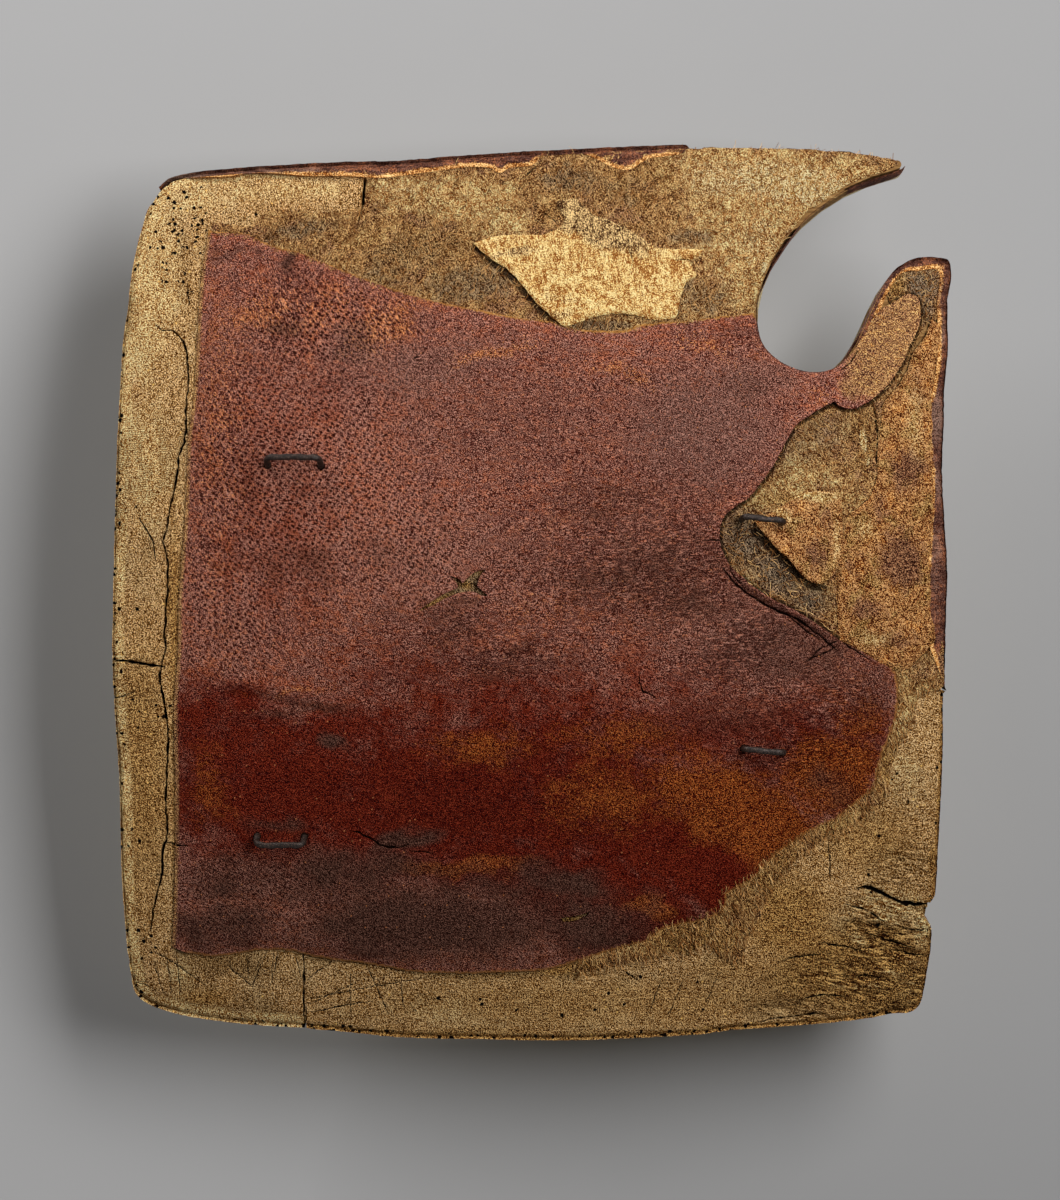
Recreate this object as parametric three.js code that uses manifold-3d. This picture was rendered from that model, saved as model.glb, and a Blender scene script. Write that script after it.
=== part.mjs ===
// A horseman's targe of the later fifteenth century, with a notch for the couched lance.
// It is built up in glued layers: a wooden core, hide, linen and gesso on the front, and a hair fibre
// layer with a red pigskin lining on the back. Four iron staples for the arm straps go through the core.
//
// Millimetres. The bearer looks at the back of the shield along +Y, with X to the right and Z up, so the
// notch is at the upper right. The origin is the middle of the lining's surface, where the arm lies.
import * as THREE from "three";
import { mergeVertices } from "three/addons/utils/BufferGeometryUtils.js";
import Module from "manifold-3d";

const wasm = await Module();
wasm.setup();

// The whole shield
const shieldWidth = 504;
const shieldHeight = 540;
const heightBow = 45; // how far the top and bottom edges stand forward of the middle
const sideBow = 18; // how far the left and right edges stand forward of the middle

// Layers, from the back to the front, with a film of glue between each and the next
const liningThickness = 1.8;
const fibreThickness = 1.2;
const coreThickness = 10;
const hideThickness = 1.4;
const linenThickness = 0.6;
const gessoThickness = 1;
const glueLine = 0.3;

// The lance notch: a round seat, the horn above it and the prong beside it
const seatRadius = 28.6;
const hornTipRadius = 4.4;
const seatShare = [0.8266, 0.7957];
const hornTipShare = [0.938, 0.9818];
const prongTipShare = [0.9629, 0.8733];

// Staples of forged iron wire
const stapleWire = 3.6;
const stapleEdgeRound = 0.8;
const stapleBendRadius = 4.5;
const stapleStandOff = 8; // clear height under the bridge, for a strap
const clenchLength = 6.5; // the point turned over on the front of the core
const clenchPoint = 2.6; // width of the wire at its point
const stapleClearance = 0.35;

// Joints between the core's boards, and the cracks that age has opened in them
const boardGap = 0.5;
const checkWidth = 1;
const checkDepth = 6;
const breakWidth = 2;
const splitWidth = 2.4;
const splitDepth = 4;

// The hide's own rim round the horn, and the space that the torn layers leave each other
const hornRimWidth = 3.2;
const tornGap = 0.5;

// Surface grid
const gridPitch = 42;
const overrun = 12;
const weld = 1e-3;

const halfWidth = shieldWidth / 2;
const halfHeight = shieldHeight / 2;

// A point of the outline from shares of the width, from the left, and of the height, from the bottom.
const at = ([across, up]) =>
  new THREE.Vector2(across * shieldWidth - halfWidth, up * shieldHeight - halfHeight);

// How far the back of the shield lies in front of its middle, at a point.
const bowAt = (x, z) =>
  heightBow * (z / halfHeight) ** 2 + sideBow * (x / halfWidth) ** 2;

const smooth = (points, steps) => new THREE.SplineCurve(points).getPoints(steps);

// The direction through the shield at a point, square to its back and towards its front.
const throughAt = (x, z) =>
  new THREE.Vector3(
    (-2 * sideBow * x) / halfWidth ** 2, 1, (-2 * heightBow * z) / halfHeight ** 2,
  ).normalize();

// Solids

const solidOf = (geometry) => {
  const bare = geometry.clone();
  bare.deleteAttribute("normal");
  bare.deleteAttribute("uv");
  const merged = mergeVertices(bare, weld);
  return new wasm.Manifold(
    new wasm.Mesh({
      numProp: 3,
      vertProperties: merged.attributes.position.array,
      triVerts: new Uint32Array(merged.index.array),
    }),
  );
};

const geometryOf = (solid) => {
  const mesh = solid.getMesh();
  const geometry = new THREE.BufferGeometry();
  geometry.setAttribute("position", new THREE.BufferAttribute(mesh.vertProperties, 3));
  geometry.setIndex(new THREE.BufferAttribute(mesh.triVerts, 1));
  geometry.computeVertexNormals();
  return geometry;
};

const stackThickness =
  liningThickness + fibreThickness + coreThickness +
  hideThickness + linenThickness + gessoThickness + glueLine * 5;
const prismReach = heightBow + sideBow + stackThickness + overrun;

// An outline in X and Z, carried through the whole depth of the shield.
const prism = (points) => {
  const geometry = new THREE.ExtrudeGeometry(new THREE.Shape(points), {
    depth: 2 * prismReach,
    bevelEnabled: false,
  });
  geometry.rotateX(Math.PI / 2);
  geometry.translate(0, prismReach, 0);
  return solidOf(geometry);
};

// A curved layer larger than the shield, from one depth behind the lining's surface to another.
const slab = (back, front) => {
  const width = shieldWidth + 2 * overrun;
  const height = shieldHeight + 2 * overrun;
  const geometry = new THREE.BoxGeometry(
    width, front - back, height,
    Math.ceil(width / gridPitch), 1, Math.ceil(height / gridPitch),
  );
  geometry.translate(0, (back + front) / 2, 0);
  const place = geometry.attributes.position;
  for (let i = 0; i < place.count; i++) {
    place.setY(i, place.getY(i) + bowAt(place.getX(i), place.getZ(i)));
  }
  return solidOf(geometry);
};

// Turns depths that were measured straight back into depths square to the shield's surface, so that
// the edges stand square to it too.
const squareUp = (solid) => {
  const geometry = geometryOf(solid);
  const place = geometry.attributes.position;
  for (let i = 0; i < place.count; i++) {
    const [x, z] = [place.getX(i), place.getZ(i)];
    const back = new THREE.Vector3(x, bowAt(x, z), z);
    const point = back.clone().addScaledVector(throughAt(x, z), place.getY(i) - back.y);
    place.setXYZ(i, point.x, point.y, point.z);
  }
  return solidOf(geometry);
};

// Moves each point of a closed outline inwards by a distance.
const inset = (points, distance) => {
  const turn = Math.sign(THREE.ShapeUtils.area(points));
  return points.map((point, i) => {
    const before = point.clone().sub(points.at(i - 1)).normalize();
    const after = points[(i + 1) % points.length].clone().sub(point).normalize();
    const along = before.clone().add(after).normalize();
    const inwards = new THREE.Vector2(-along.y, along.x).multiplyScalar(turn);
    return point.clone().add(inwards.multiplyScalar(distance / along.dot(before)));
  });
};

// The outline of a line drawn with a pen whose width tapers to its ends.
const stroke = (line, width, endWidth, taperSteps) => {
  const left = [];
  const right = [];
  line.forEach((point, i) => {
    const before = line[Math.max(i - 1, 0)];
    const after = line[Math.min(i + 1, line.length - 1)];
    const along = after.clone().sub(before).normalize();
    const across = new THREE.Vector2(-along.y, along.x);
    const fromEnd = Math.min(i, line.length - 1 - i, taperSteps) / taperSteps;
    const half = (endWidth + (width - endWidth) * fromEnd) / 2;
    left.push(point.clone().addScaledVector(across, half));
    right.unshift(point.clone().addScaledVector(across, -half));
  });
  return [...left, ...right];
};

// The outline

const halfTurn = Math.PI;
const hornTip = at(hornTipShare);
const seat = at(seatShare);
const prongTip = at(prongTipShare);

const arc = (centre, radius, from, to, steps) =>
  Array.from({ length: steps + 1 }, (_, i) => {
    const angle = from + ((to - from) * i) / steps;
    return new THREE.Vector2(Math.cos(angle), Math.sin(angle)).multiplyScalar(radius).add(centre);
  });

const bezier = (start, startHandle, endHandle, end, steps) =>
  new THREE.CubicBezierCurve(
    start, start.clone().add(startHandle), end.clone().add(endHandle), end,
  ).getPoints(steps);

const topEdgeShares = [
  [0.066, 0.963], [0.102, 0.97], [0.161, 0.974], [0.341, 0.981], [0.461, 0.99],
  [0.58, 0.996], [0.7, 0.9995], [0.76, 1], [0.819, 0.998], [0.879, 0.9945], [0.927, 0.989],
];
const upperRightShares = [
  [0.977, 0.8735], [0.994, 0.871], [0.9995, 0.864], [1, 0.847], [0.9964, 0.826], [0.995, 0.77],
  [0.99, 0.72], [0.9856, 0.642], [0.988, 0.603], [0.993, 0.52], [0.9916, 0.469], [0.99, 0.393],
];
const lowerRightShares = [
  [0.987, 0.386], [0.988, 0.335], [0.987, 0.279], [0.983, 0.212], [0.981, 0.165],
];
const chipShares = [[0.974, 0.153], [0.969, 0.145], [0.97, 0.136], [0.976, 0.126]];
const lowerCornerShares = [
  [0.977, 0.114], [0.974, 0.084], [0.969, 0.056], [0.963, 0.039], [0.953, 0.031], [0.936, 0.029],
];
const bottomEdgeShares = [
  [0.936, 0.029], [0.879, 0.021], [0.76, 0.012], [0.64, 0.0033], [0.508, 0], [0.4, 0.002],
  [0.329, 0.003], [0.281, 0.009], [0.227, 0.013], [0.102, 0.0234], [0.066, 0.03],
  [0.042, 0.038], [0.0275, 0.047], [0.02, 0.058],
];
const leftEdgeShares = [
  [0.02, 0.058], [0.013, 0.112], [0.007, 0.212], [0.007, 0.268], [0.0006, 0.391], [0, 0.435],
  [0.003, 0.58], [0.008, 0.725], [0.019, 0.848], [0.0395, 0.929], [0.046, 0.942], [0.066, 0.963],
];

const hornArcFrom = 0.44 * halfTurn;
const hornArcTo = -0.39 * halfTurn;
const seatArcFrom = halfTurn;
const seatArcTo = 1.805 * halfTurn;

const shieldOutline = () => {
  const horn = arc(hornTip, hornTipRadius, hornArcFrom, hornArcTo, 5);
  const floor = arc(seat, seatRadius, seatArcFrom, seatArcTo, 8);
  const hornRun = horn.at(-1).clone().sub(floor[0]);
  const prongRun = prongTip.clone().sub(floor.at(-1));
  const underHorn = bezier(
    horn.at(-1), new THREE.Vector2(-0.62 * hornRun.x, -0.13 * hornRun.y),
    new THREE.Vector2(-0.02 * hornRun.x, 0.43 * hornRun.y), floor[0], 9,
  );
  const besideProng = bezier(
    floor.at(-1), new THREE.Vector2(0.31 * prongRun.x, 0.3 * prongRun.y),
    new THREE.Vector2(-0.6 * prongRun.x, -0.05 * prongRun.y), prongTip, 7,
  );
  return [
    ...smooth(topEdgeShares.map(at), 13),
    ...horn,
    ...underHorn.slice(1, -1),
    ...floor,
    ...besideProng.slice(1),
    ...smooth(upperRightShares.map(at), 16),
    ...smooth(lowerRightShares.map(at), 6),
    ...chipShares.map(at),
    ...smooth(lowerCornerShares.map(at), 7),
    ...smooth(bottomEdgeShares.map(at), 18).slice(1, -1),
    ...smooth(leftEdgeShares.map(at), 15).slice(0, -1),
  ];
};

const outline = shieldOutline();
const whole = prism(outline);
const insideHide = prism(inset(outline, hideThickness));
const insideRim = prism(inset(outline, hideThickness + glueLine));

// Where the front hide is turned over the edge
const turnedEdgeShares = [
  [0.03, 0.93], [0.06, 0.94], [0.08, 0.955], [0.3, 0.955], [0.5, 0.96], [0.72, 0.97], [0.9, 0.95],
  [0.76, 0.88], [0.74, 0.8], [0.78, 0.72], [0.86, 0.72], [0.9, 0.78], [0.93, 0.82], [0.96, 0.83],
  [0.97, 0.391], [1.03, 0.391], [1.03, 1.03], [0.03, 1.03],
];
const turnedEdge = turnedEdgeShares.map(at);
const underHide = whole.subtract(prism(inset(turnedEdge, -glueLine))).add(insideRim);

// Depths of the layers' faces, in front of the lining's surface
const fibreBack = liningThickness + glueLine;
const coreBack = fibreBack + fibreThickness + glueLine;
const coreFront = coreBack + coreThickness;
const hideBack = coreFront + glueLine;
const hideFront = hideBack + hideThickness;
const linenBack = hideFront + glueLine;
const linenFront = linenBack + linenThickness;
const gessoBack = linenFront + glueLine;
const gessoFront = gessoBack + gessoThickness;

// Staples

// Where each stands, between its legs, with its span from leg to leg, the turn of its bridge in the
// surface, and how far its bridge leans up for each millimetre that it stands out.
const staples = [
  { name: "staple_upper_left", placeShare: [0.217, 0.6395], span: 32, turn: -0.02, lean: 0.5 },
  { name: "staple_lower_left", placeShare: [0.2004, 0.2294], span: 28.4, turn: 0, lean: -0.32 },
  { name: "staple_upper_right", placeShare: [0.7715, 0.579], span: 24, turn: -0.1, lean: 0.08 },
  { name: "staple_lower_right", placeShare: [0.773, 0.325], span: 23, turn: -0.11, lean: 0.12 },
];

// The middle line of the wire: point, leg, bridge, leg, point, in the staple's own X and depth.
const stapleLine = (span) => {
  const half = span / 2;
  const top = -stapleStandOff - stapleWire / 2;
  const depth = coreFront - stapleWire / 2;
  const bend = stapleBendRadius;
  const line = new THREE.Path();
  line.moveTo(clenchLength - half, depth + (stapleWire - clenchPoint) / 2);
  line.lineTo(bend - half, depth);
  line.quadraticCurveTo(-half, depth, -half, depth - bend);
  line.lineTo(-half, top + bend);
  line.quadraticCurveTo(-half, top, bend - half, top);
  line.lineTo(half - bend, top);
  line.quadraticCurveTo(half, top, half, top + bend);
  line.lineTo(half, depth - bend);
  line.quadraticCurveTo(half, depth, half - bend, depth);
  line.lineTo(half - clenchLength, depth + (stapleWire - clenchPoint) / 2);
  return line.getPoints(3);
};

const stapleShape = (span, clearance) =>
  new THREE.Shape(
    stroke(stapleLine(span), stapleWire + 2 * clearance, clenchPoint + 2 * clearance, 2),
  );

// The wire bent flat, then its loop pushed over where it leaves the leather.
const stapleGeometry = ({ span, lean }) => {
  const depth = stapleWire - 2 * stapleEdgeRound;
  const flat = new THREE.ExtrudeGeometry(stapleShape(span, 0), {
    depth,
    bevelSize: stapleEdgeRound,
    bevelOffset: -stapleEdgeRound,
    bevelThickness: stapleEdgeRound,
    bevelSegments: 1,
  });
  const wire = solidOf(flat.translate(0, 0, -depth / 2));
  const inShield = new THREE.BoxGeometry(2 * span, 2 * coreFront, 2 * stapleWire);
  const legs = wire.intersect(solidOf(inShield.translate(0, coreFront, 0)));
  const loop = geometryOf(wire.subtract(legs));
  loop.applyMatrix4(new THREE.Matrix4().makeShear(0, 0, 0, -lean, 0, 0));
  return geometryOf(legs.add(solidOf(loop)));
};

// Sets a staple's own X, depth and height into the shield, square to its back.
const stapleFrame = ({ placeShare, turn }) => {
  const { x, y: z } = at(placeShare);
  const inwards = throughAt(x, z);
  const along = new THREE.Vector3(Math.cos(turn), 0, Math.sin(turn));
  along.addScaledVector(inwards, -along.dot(inwards)).normalize();
  const up = along.clone().cross(inwards);
  return new THREE.Matrix4()
    .makeBasis(along, inwards, up)
    .setPosition(x, bowAt(x, z), z);
};

// The holes for a staple's legs, with the grooves in the front of the core that its points lie in.
const stapleHole = (staple) => {
  const width = stapleWire + 2 * stapleClearance;
  const legs = new THREE.ExtrudeGeometry(stapleShape(staple.span, stapleClearance), {
    depth: width,
    bevelEnabled: false,
  });
  const frame = stapleFrame(staple);
  const grooveLength = clenchLength + stapleWire / 2 + 2 * stapleClearance;
  const grooves = [-1, 1].map((side) => {
    const groove = new THREE.BoxGeometry(grooveLength, overrun, width);
    const fromMiddle = (staple.span + width - grooveLength) / 2;
    groove.translate(side * fromMiddle, coreFront - stapleWire / 2 + overrun / 2, 0);
    return solidOf(groove.applyMatrix4(frame));
  });
  return grooves.reduce(
    (all, groove) => all.add(groove),
    solidOf(legs.translate(0, 0, -width / 2).applyMatrix4(frame)),
  );
};

const stapleHoles = staples.map(stapleHole).reduce((all, hole) => all.add(hole));

// A layer between two depths, cut to an outline and pierced for the staples
const layer = (shape, back, front) =>
  squareUp(slab(back, front).intersect(shape)).subtract(stapleHoles);

// The core: a stile with upright grain at the left, and three boards across

const stileJointShares = [[0.2215, -0.06], [0.3045, 1.03]]; // its foot and head
const upperJointShare = 0.8;
const lowerJointShare = 0.391;

const stileJoint = stileJointShares.map(at);
const farLeft = -halfWidth - overrun;
const farRight = halfWidth + overrun;
const jointAlong = stileJoint[1].clone().sub(stileJoint[0]);
const jointAt = (z) =>
  stileJoint[0].x + (jointAlong.x * (z - stileJoint[0].y)) / jointAlong.y;
const upperJoint = at([0, upperJointShare]).y;
const lowerJoint = at([0, lowerJointShare]).y;
const topOfAll = halfHeight + overrun;
const bottomOfAll = -halfHeight - overrun;
const aboveProng = (prongTip.y + hornTip.y - hornTipRadius) / 2 - (hornTip.y - prongTip.y) / 4;

const corners = (...pairs) => pairs.map(([x, z]) => new THREE.Vector2(x, z));
const beside = (z) => jointAt(z) + boardGap;

const stileOutline = corners(
  [farLeft, bottomOfAll], [jointAt(bottomOfAll), bottomOfAll],
  [jointAt(topOfAll), topOfAll], [farLeft, topOfAll],
);
const upperOutline = corners(
  [beside(upperJoint + boardGap), upperJoint + boardGap], [seat.x, upperJoint + boardGap],
  [seat.x, aboveProng + boardGap], [farRight, aboveProng + boardGap],
  [farRight, topOfAll], [beside(topOfAll), topOfAll],
);
const middleOutline = corners(
  [beside(lowerJoint + boardGap), lowerJoint + boardGap], [farRight, lowerJoint + boardGap],
  [farRight, aboveProng], [seat.x, aboveProng],
  [seat.x, upperJoint], [beside(upperJoint), upperJoint],
);
const lowerOutline = corners(
  [beside(bottomOfAll), bottomOfAll], [farRight, bottomOfAll],
  [farRight, lowerJoint], [beside(lowerJoint), lowerJoint],
);

const board = (shape) =>
  layer(underHide.intersect(prism(shape)), coreBack, coreFront);

// A check along the grain of the stile, and the break across it at the outer edge
const stileCheckShares = [
  [0.069, 0.792], [0.087, 0.759], [0.0897, 0.725], [0.086, 0.67], [0.0694, 0.603], [0.0622, 0.558],
  [0.0646, 0.502], [0.0622, 0.469], [0.0586, 0.419], [0.0622, 0.38], [0.0658, 0.324],
  [0.0622, 0.268], [0.0658, 0.2288], [0.0574, 0.19], [0.0478, 0.156], [0.042, 0.1205],
];
const stileBreakShares = [[-0.02, 0.424], [0, 0.423], [0.03, 0.4205], [0.0586, 0.417]];

const crack = (points, width, depth) =>
  squareUp(
    prism(stroke(points, width, width / 3, 2)).intersect(
      slab(coreBack - overrun, coreBack + depth),
    ),
  );

const stile = () =>
  board(stileOutline)
    .subtract(crack(smooth(stileCheckShares.map(at), 30), checkWidth, checkDepth))
    .subtract(crack(stileBreakShares.map(at), breakWidth, coreThickness + overrun));

// The split that runs into the lower board from the chip in its right edge
const cornerSplitShares = [
  [0.887, 0.1685], [0.905, 0.1685], [0.925, 0.156], [0.945, 0.15], [0.964, 0.1485], [0.99, 0.148],
];
const lowerBoard = () =>
  board(lowerOutline).subtract(crack(cornerSplitShares.map(at), splitWidth, splitDepth));

// The front: hide turned over the top, the notch and the upper right side, then linen, then gesso

const topStripShares = [
  [0.0455, 0.9375], [0.06, 0.951], [0.075, 0.96], [0.102, 0.964], [0.1375, 0.962],
  [0.1615, 0.965], [0.221, 0.963], [0.281, 0.961], [0.323, 0.9587], [0.377, 0.965],
  [0.4246, 0.971], [0.4486, 0.97], [0.464, 0.964], [0.478, 0.971], [0.499, 0.973],
  [0.5096, 0.984], [0.532, 0.988], [0.556, 0.988], [0.5706, 0.982], [0.598, 0.97],
  [0.618, 0.969], [0.634, 0.979], [0.658, 0.983], [0.678, 0.988], [0.688, 0.9967],
  [0.69, 1.02], [0.02, 1.02], [0.02, 0.9375],
];
const hornStripShares = [
  [0.754, 0.81], [0.82, 0.81], [0.98, 0.93], [0.98, 0.985], [0.93, 0.975],
  [0.86, 0.955], [0.79, 0.9], [0.754, 0.84],
];
const prongStripShares = [
  [0.871, 0.7455], [0.886, 0.7645], [0.9007, 0.787], [0.9115, 0.809], [0.921, 0.83],
  [0.9306, 0.846], [0.9426, 0.856], [0.963, 0.858], [0.9797, 0.859], [0.9856, 0.8504],
  [0.982, 0.826], [0.982, 0.792], [0.981, 0.759], [0.976, 0.729], [0.969, 0.7087],
  [0.9665, 0.686], [0.97, 0.6585], [0.9725, 0.625], [0.971, 0.5915], [0.969, 0.558],
  [0.9665, 0.513], [0.964, 0.469], [0.9677, 0.441], [0.977, 0.424], [0.9844, 0.407],
  [0.993, 0.391], [1.03, 0.391], [1.03, 0.893], [0.915, 0.893], [0.879, 0.826],
  [0.865, 0.7757], [0.858, 0.752], [0.8624, 0.7455],
];

const turnedOver = (margin) => {
  const [top, prong, horn] = [topStripShares, prongStripShares, hornStripShares]
    .map((shares) => prism(inset(shares.map(at), -margin)));
  const hornRim = horn.subtract(prism(inset(outline, hornRimWidth + margin)));
  return top.add(prong).add(hornRim);
};
const strips = turnedOver(0).intersect(whole);
const stripsWithGap = turnedOver(tornGap);

const frontHide = () => {
  const wall = whole.subtract(insideHide).intersect(prism(turnedEdge));
  const face = slab(hideBack, hideFront).intersect(whole);
  const side = slab(fibreBack, hideFront).intersect(wall);
  const strip = slab(0, liningThickness).intersect(strips);
  const fold = slab(0, coreBack).intersect(strips.intersect(wall));
  return squareUp(face.add(side).add(strip).add(fold));
};

// The back: hair fibre on the core, the red lining, and what is left of the hide beside it

const fibreShares = [
  [0.295, 0.943], [0.297, 1.02], [1.03, 1.02], [1.03, 0.42], [0.975, 0.405], [0.945, 0.379],
  [0.9426, 0.346], [0.9306, 0.318], [0.921, 0.285], [0.9007, 0.262], [0.873, 0.24],
  [0.843, 0.2176], [0.8134, 0.1987], [0.7895, 0.1786], [0.7715, 0.156], [0.762, 0.123],
  [0.7536, 0.095], [0.726, 0.0915], [0.721, 0.1116], [0.6998, 0.106], [0.664, 0.098],
  [0.628, 0.0926], [0.58, 0.0826], [0.532, 0.0725], [0.4725, 0.067], [0.4246, 0.067],
  [0.377, 0.0714], [0.335, 0.0835], [0.233, 0.1004], [0.215, 0.105], [0.1495, 0.1004],
  [0.0777, 0.107], [0.08, 0.156], [0.0825, 0.3795], [0.087, 0.491], [0.0957, 0.625],
  [0.1077, 0.77], [0.116, 0.893], [0.118, 0.9085], [0.1615, 0.9196], [0.221, 0.9297],
  [0.275, 0.934],
];
const hollowShares = [
  [0.728, 0.5815], [0.7225, 0.567], [0.725, 0.549], [0.733, 0.5335], [0.7536, 0.518],
  [0.7895, 0.4955], [0.819, 0.48], [0.837, 0.4855], [0.848, 0.4967], [0.819, 0.5134],
  [0.801, 0.5335], [0.781, 0.5525], [0.768, 0.5725], [0.7536, 0.58], [0.7416, 0.586],
];
const liningTopShares = [
  [0.111, 0.904], [0.1375, 0.903], [0.1615, 0.901], [0.183, 0.8895], [0.221, 0.8806],
  [0.275, 0.859], [0.341, 0.836], [0.4007, 0.82], [0.4605, 0.808], [0.514, 0.801],
  [0.5467, 0.7924], [0.58, 0.79], [0.616, 0.791], [0.646, 0.798], [0.7, 0.8036], [0.768, 0.8105],
];
const liningProngShares = [
  [0.8, 0.815], [0.84, 0.77], [0.9, 0.82], [0.9127, 0.82], [0.9246, 0.827], [0.945, 0.834],
  [0.957, 0.828], [0.959, 0.809], [0.9545, 0.781], [0.94, 0.7455], [0.929, 0.728],
  [0.915, 0.714], [0.897, 0.7076], [0.879, 0.6998], [0.865, 0.7054], [0.8565, 0.711],
];
const liningHollowShares = [
  [0.834, 0.6964], [0.8074, 0.6786], [0.7895, 0.647], [0.768, 0.617], [0.7536, 0.603],
  [0.726, 0.584], [0.72, 0.569], [0.721, 0.5525], [0.7356, 0.527], [0.7715, 0.5045],
  [0.861, 0.4487], [0.903, 0.4275], [0.934, 0.4096],
];
const liningCornerShares = [
  [0.933, 0.3516], [0.9187, 0.3125], [0.908, 0.279], [0.873, 0.259], [0.831, 0.23],
  [0.7895, 0.203], [0.7596, 0.1786], [0.73, 0.1596], [0.714, 0.136], [0.67, 0.128],
  [0.64, 0.115], [0.58, 0.095], [0.52, 0.087], [0.4665, 0.077], [0.3888, 0.076],
  [0.323, 0.0815], [0.233, 0.095], [0.2153, 0.099], [0.1495, 0.095], [0.1196, 0.0915],
  [0.0957, 0.095], [0.068, 0.103],
];
const liningLeftShares = [
  [0.069, 0.156], [0.073, 0.223], [0.075, 0.357], [0.069, 0.391], [0.078, 0.43],
  [0.078, 0.491], [0.087, 0.603], [0.097, 0.714], [0.102, 0.815],
];
const middleTearShares = [
  [0.403, 0.517], [0.415, 0.52], [0.4366, 0.5257], [0.444, 0.5235], [0.4414, 0.5156],
  [0.446, 0.502], [0.4246, 0.507], [0.41, 0.5], [0.389, 0.4877], [0.3816, 0.4855],
  [0.396, 0.4967], [0.409, 0.507],
];
const lowerTearShares = [
  [0.532, 0.1395], [0.5467, 0.137], [0.562, 0.144], [0.56, 0.135], [0.5467, 0.1295],
  [0.535, 0.132],
];

const fibreLayer = () => {
  const shape = insideRim
    .intersect(prism(fibreShares.map(at)))
    .subtract(prism(hollowShares.map(at)));
  return layer(shape, fibreBack, fibreBack + fibreThickness);
};

const liningShape = whole.intersect(
  prism([
    ...liningTopShares, ...liningProngShares, ...liningHollowShares,
    ...liningCornerShares, ...liningLeftShares,
  ].map(at)),
);

const lining = () => {
  const tears = prism(middleTearShares.map(at)).add(prism(lowerTearShares.map(at)));
  return layer(liningShape.subtract(tears).subtract(stripsWithGap), 0, liningThickness);
};

const sideHideShares = [
  [0.9725, 0.809], [0.9653, 0.787], [0.957, 0.768], [0.9486, 0.748], [0.939, 0.7277],
  [0.9246, 0.712], [0.9127, 0.6975], [0.91, 0.6696], [0.91, 0.6306], [0.898, 0.608],
  [0.8744, 0.589], [0.8684, 0.5636], [0.867, 0.5357], [0.86, 0.519], [0.86, 0.491],
  [0.865, 0.4576], [0.8816, 0.444], [0.9055, 0.431], [0.9246, 0.4185], [0.9366, 0.412],
  [0.957, 0.424], [0.969, 0.438], [0.975, 0.51], [0.98, 0.6], [0.975, 0.69],
  [0.985, 0.74], [0.985, 0.8], [0.979, 0.81],
];
const sideHide = () => {
  const shape = prism(sideHideShares.map(at)).subtract(stripsWithGap).intersect(insideRim);
  return layer(shape, 0, liningThickness);
};

const flapShares = [
  [0.769, 0.576], [0.793, 0.589], [0.8074, 0.598], [0.834, 0.6004], [0.86, 0.598],
  [0.862, 0.586], [0.86, 0.5525], [0.855, 0.53], [0.851, 0.5167], [0.84, 0.509],
  [0.823, 0.5145], [0.81, 0.527], [0.798, 0.539], [0.786, 0.549], [0.776, 0.561],
];
const flakeShares = [
  [0.4294, 0.887], [0.44, 0.8906], [0.4605, 0.895], [0.514, 0.898], [0.5275, 0.906],
  [0.514, 0.93], [0.52, 0.9386], [0.5347, 0.9386], [0.556, 0.931], [0.598, 0.913],
  [0.646, 0.8906], [0.676, 0.8817], [0.703, 0.8806], [0.708, 0.8728], [0.69, 0.866],
  [0.6998, 0.857], [0.6734, 0.835], [0.685, 0.812], [0.652, 0.8075], [0.628, 0.81],
  [0.598, 0.811], [0.568, 0.8076], [0.5467, 0.805], [0.5275, 0.809], [0.508, 0.817],
  [0.487, 0.836], [0.47, 0.8527], [0.4486, 0.868],
];
const flakeThickness = 0.9;

// Colour and finish of each material
const finish = (color, roughness, metalness = 0) => ({ color, roughness, metalness });
const wood = finish(0xa98a55, 0.85);
const fibre = finish(0x7d6540, 0.95);
const redLeather = finish(0x6b2a20, 0.5);
const bareHide = finish(0xa07a3c, 0.75);
const paleHide = finish(0xdcb878, 0.7);
const turnedHide = finish(0x4e2c24, 0.6);
const canvas = finish(0xb7a684, 0.95);
const ground = finish(0xc9bda2, 0.8);
const iron = finish(0x2b2726, 0.55, 0.8);

const targe = new THREE.Group();

const add = (name, geometry, look) => {
  const mesh = new THREE.Mesh(geometry, new THREE.MeshStandardMaterial(look));
  mesh.name = name;
  targe.add(mesh);
  return mesh;
};

add("core_stile", geometryOf(stile()), wood);
add("core_board_upper", geometryOf(board(upperOutline)), wood);
add("core_board_middle", geometryOf(board(middleOutline)), wood);
add("core_board_lower", geometryOf(lowerBoard()), wood);
add("front_hide", geometryOf(frontHide()), turnedHide);
add("front_linen", geometryOf(squareUp(slab(linenBack, linenFront).intersect(whole))), canvas);
add("front_gesso", geometryOf(squareUp(slab(gessoBack, gessoFront).intersect(whole))), ground);
add("back_fibre_layer", geometryOf(fibreLayer()), fibre);
add("back_lining", geometryOf(lining()), redLeather);
add("back_side_hide", geometryOf(sideHide()), bareHide);
add("back_hide_flap", geometryOf(layer(prism(flapShares.map(at)), 0, liningThickness)), bareHide);
add(
  "back_pale_flake",
  geometryOf(layer(prism(flakeShares.map(at)), liningThickness - flakeThickness, liningThickness)),
  paleHide,
);

for (const staple of staples) {
  const mesh = add(staple.name, stapleGeometry(staple), iron);
  stapleFrame(staple).decompose(mesh.position, mesh.quaternion, mesh.scale);
}

export default targe;
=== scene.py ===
import math

import bpy
import numpy as np
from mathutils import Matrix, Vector
from mathutils.geometry import delaunay_2d_cdt


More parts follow.
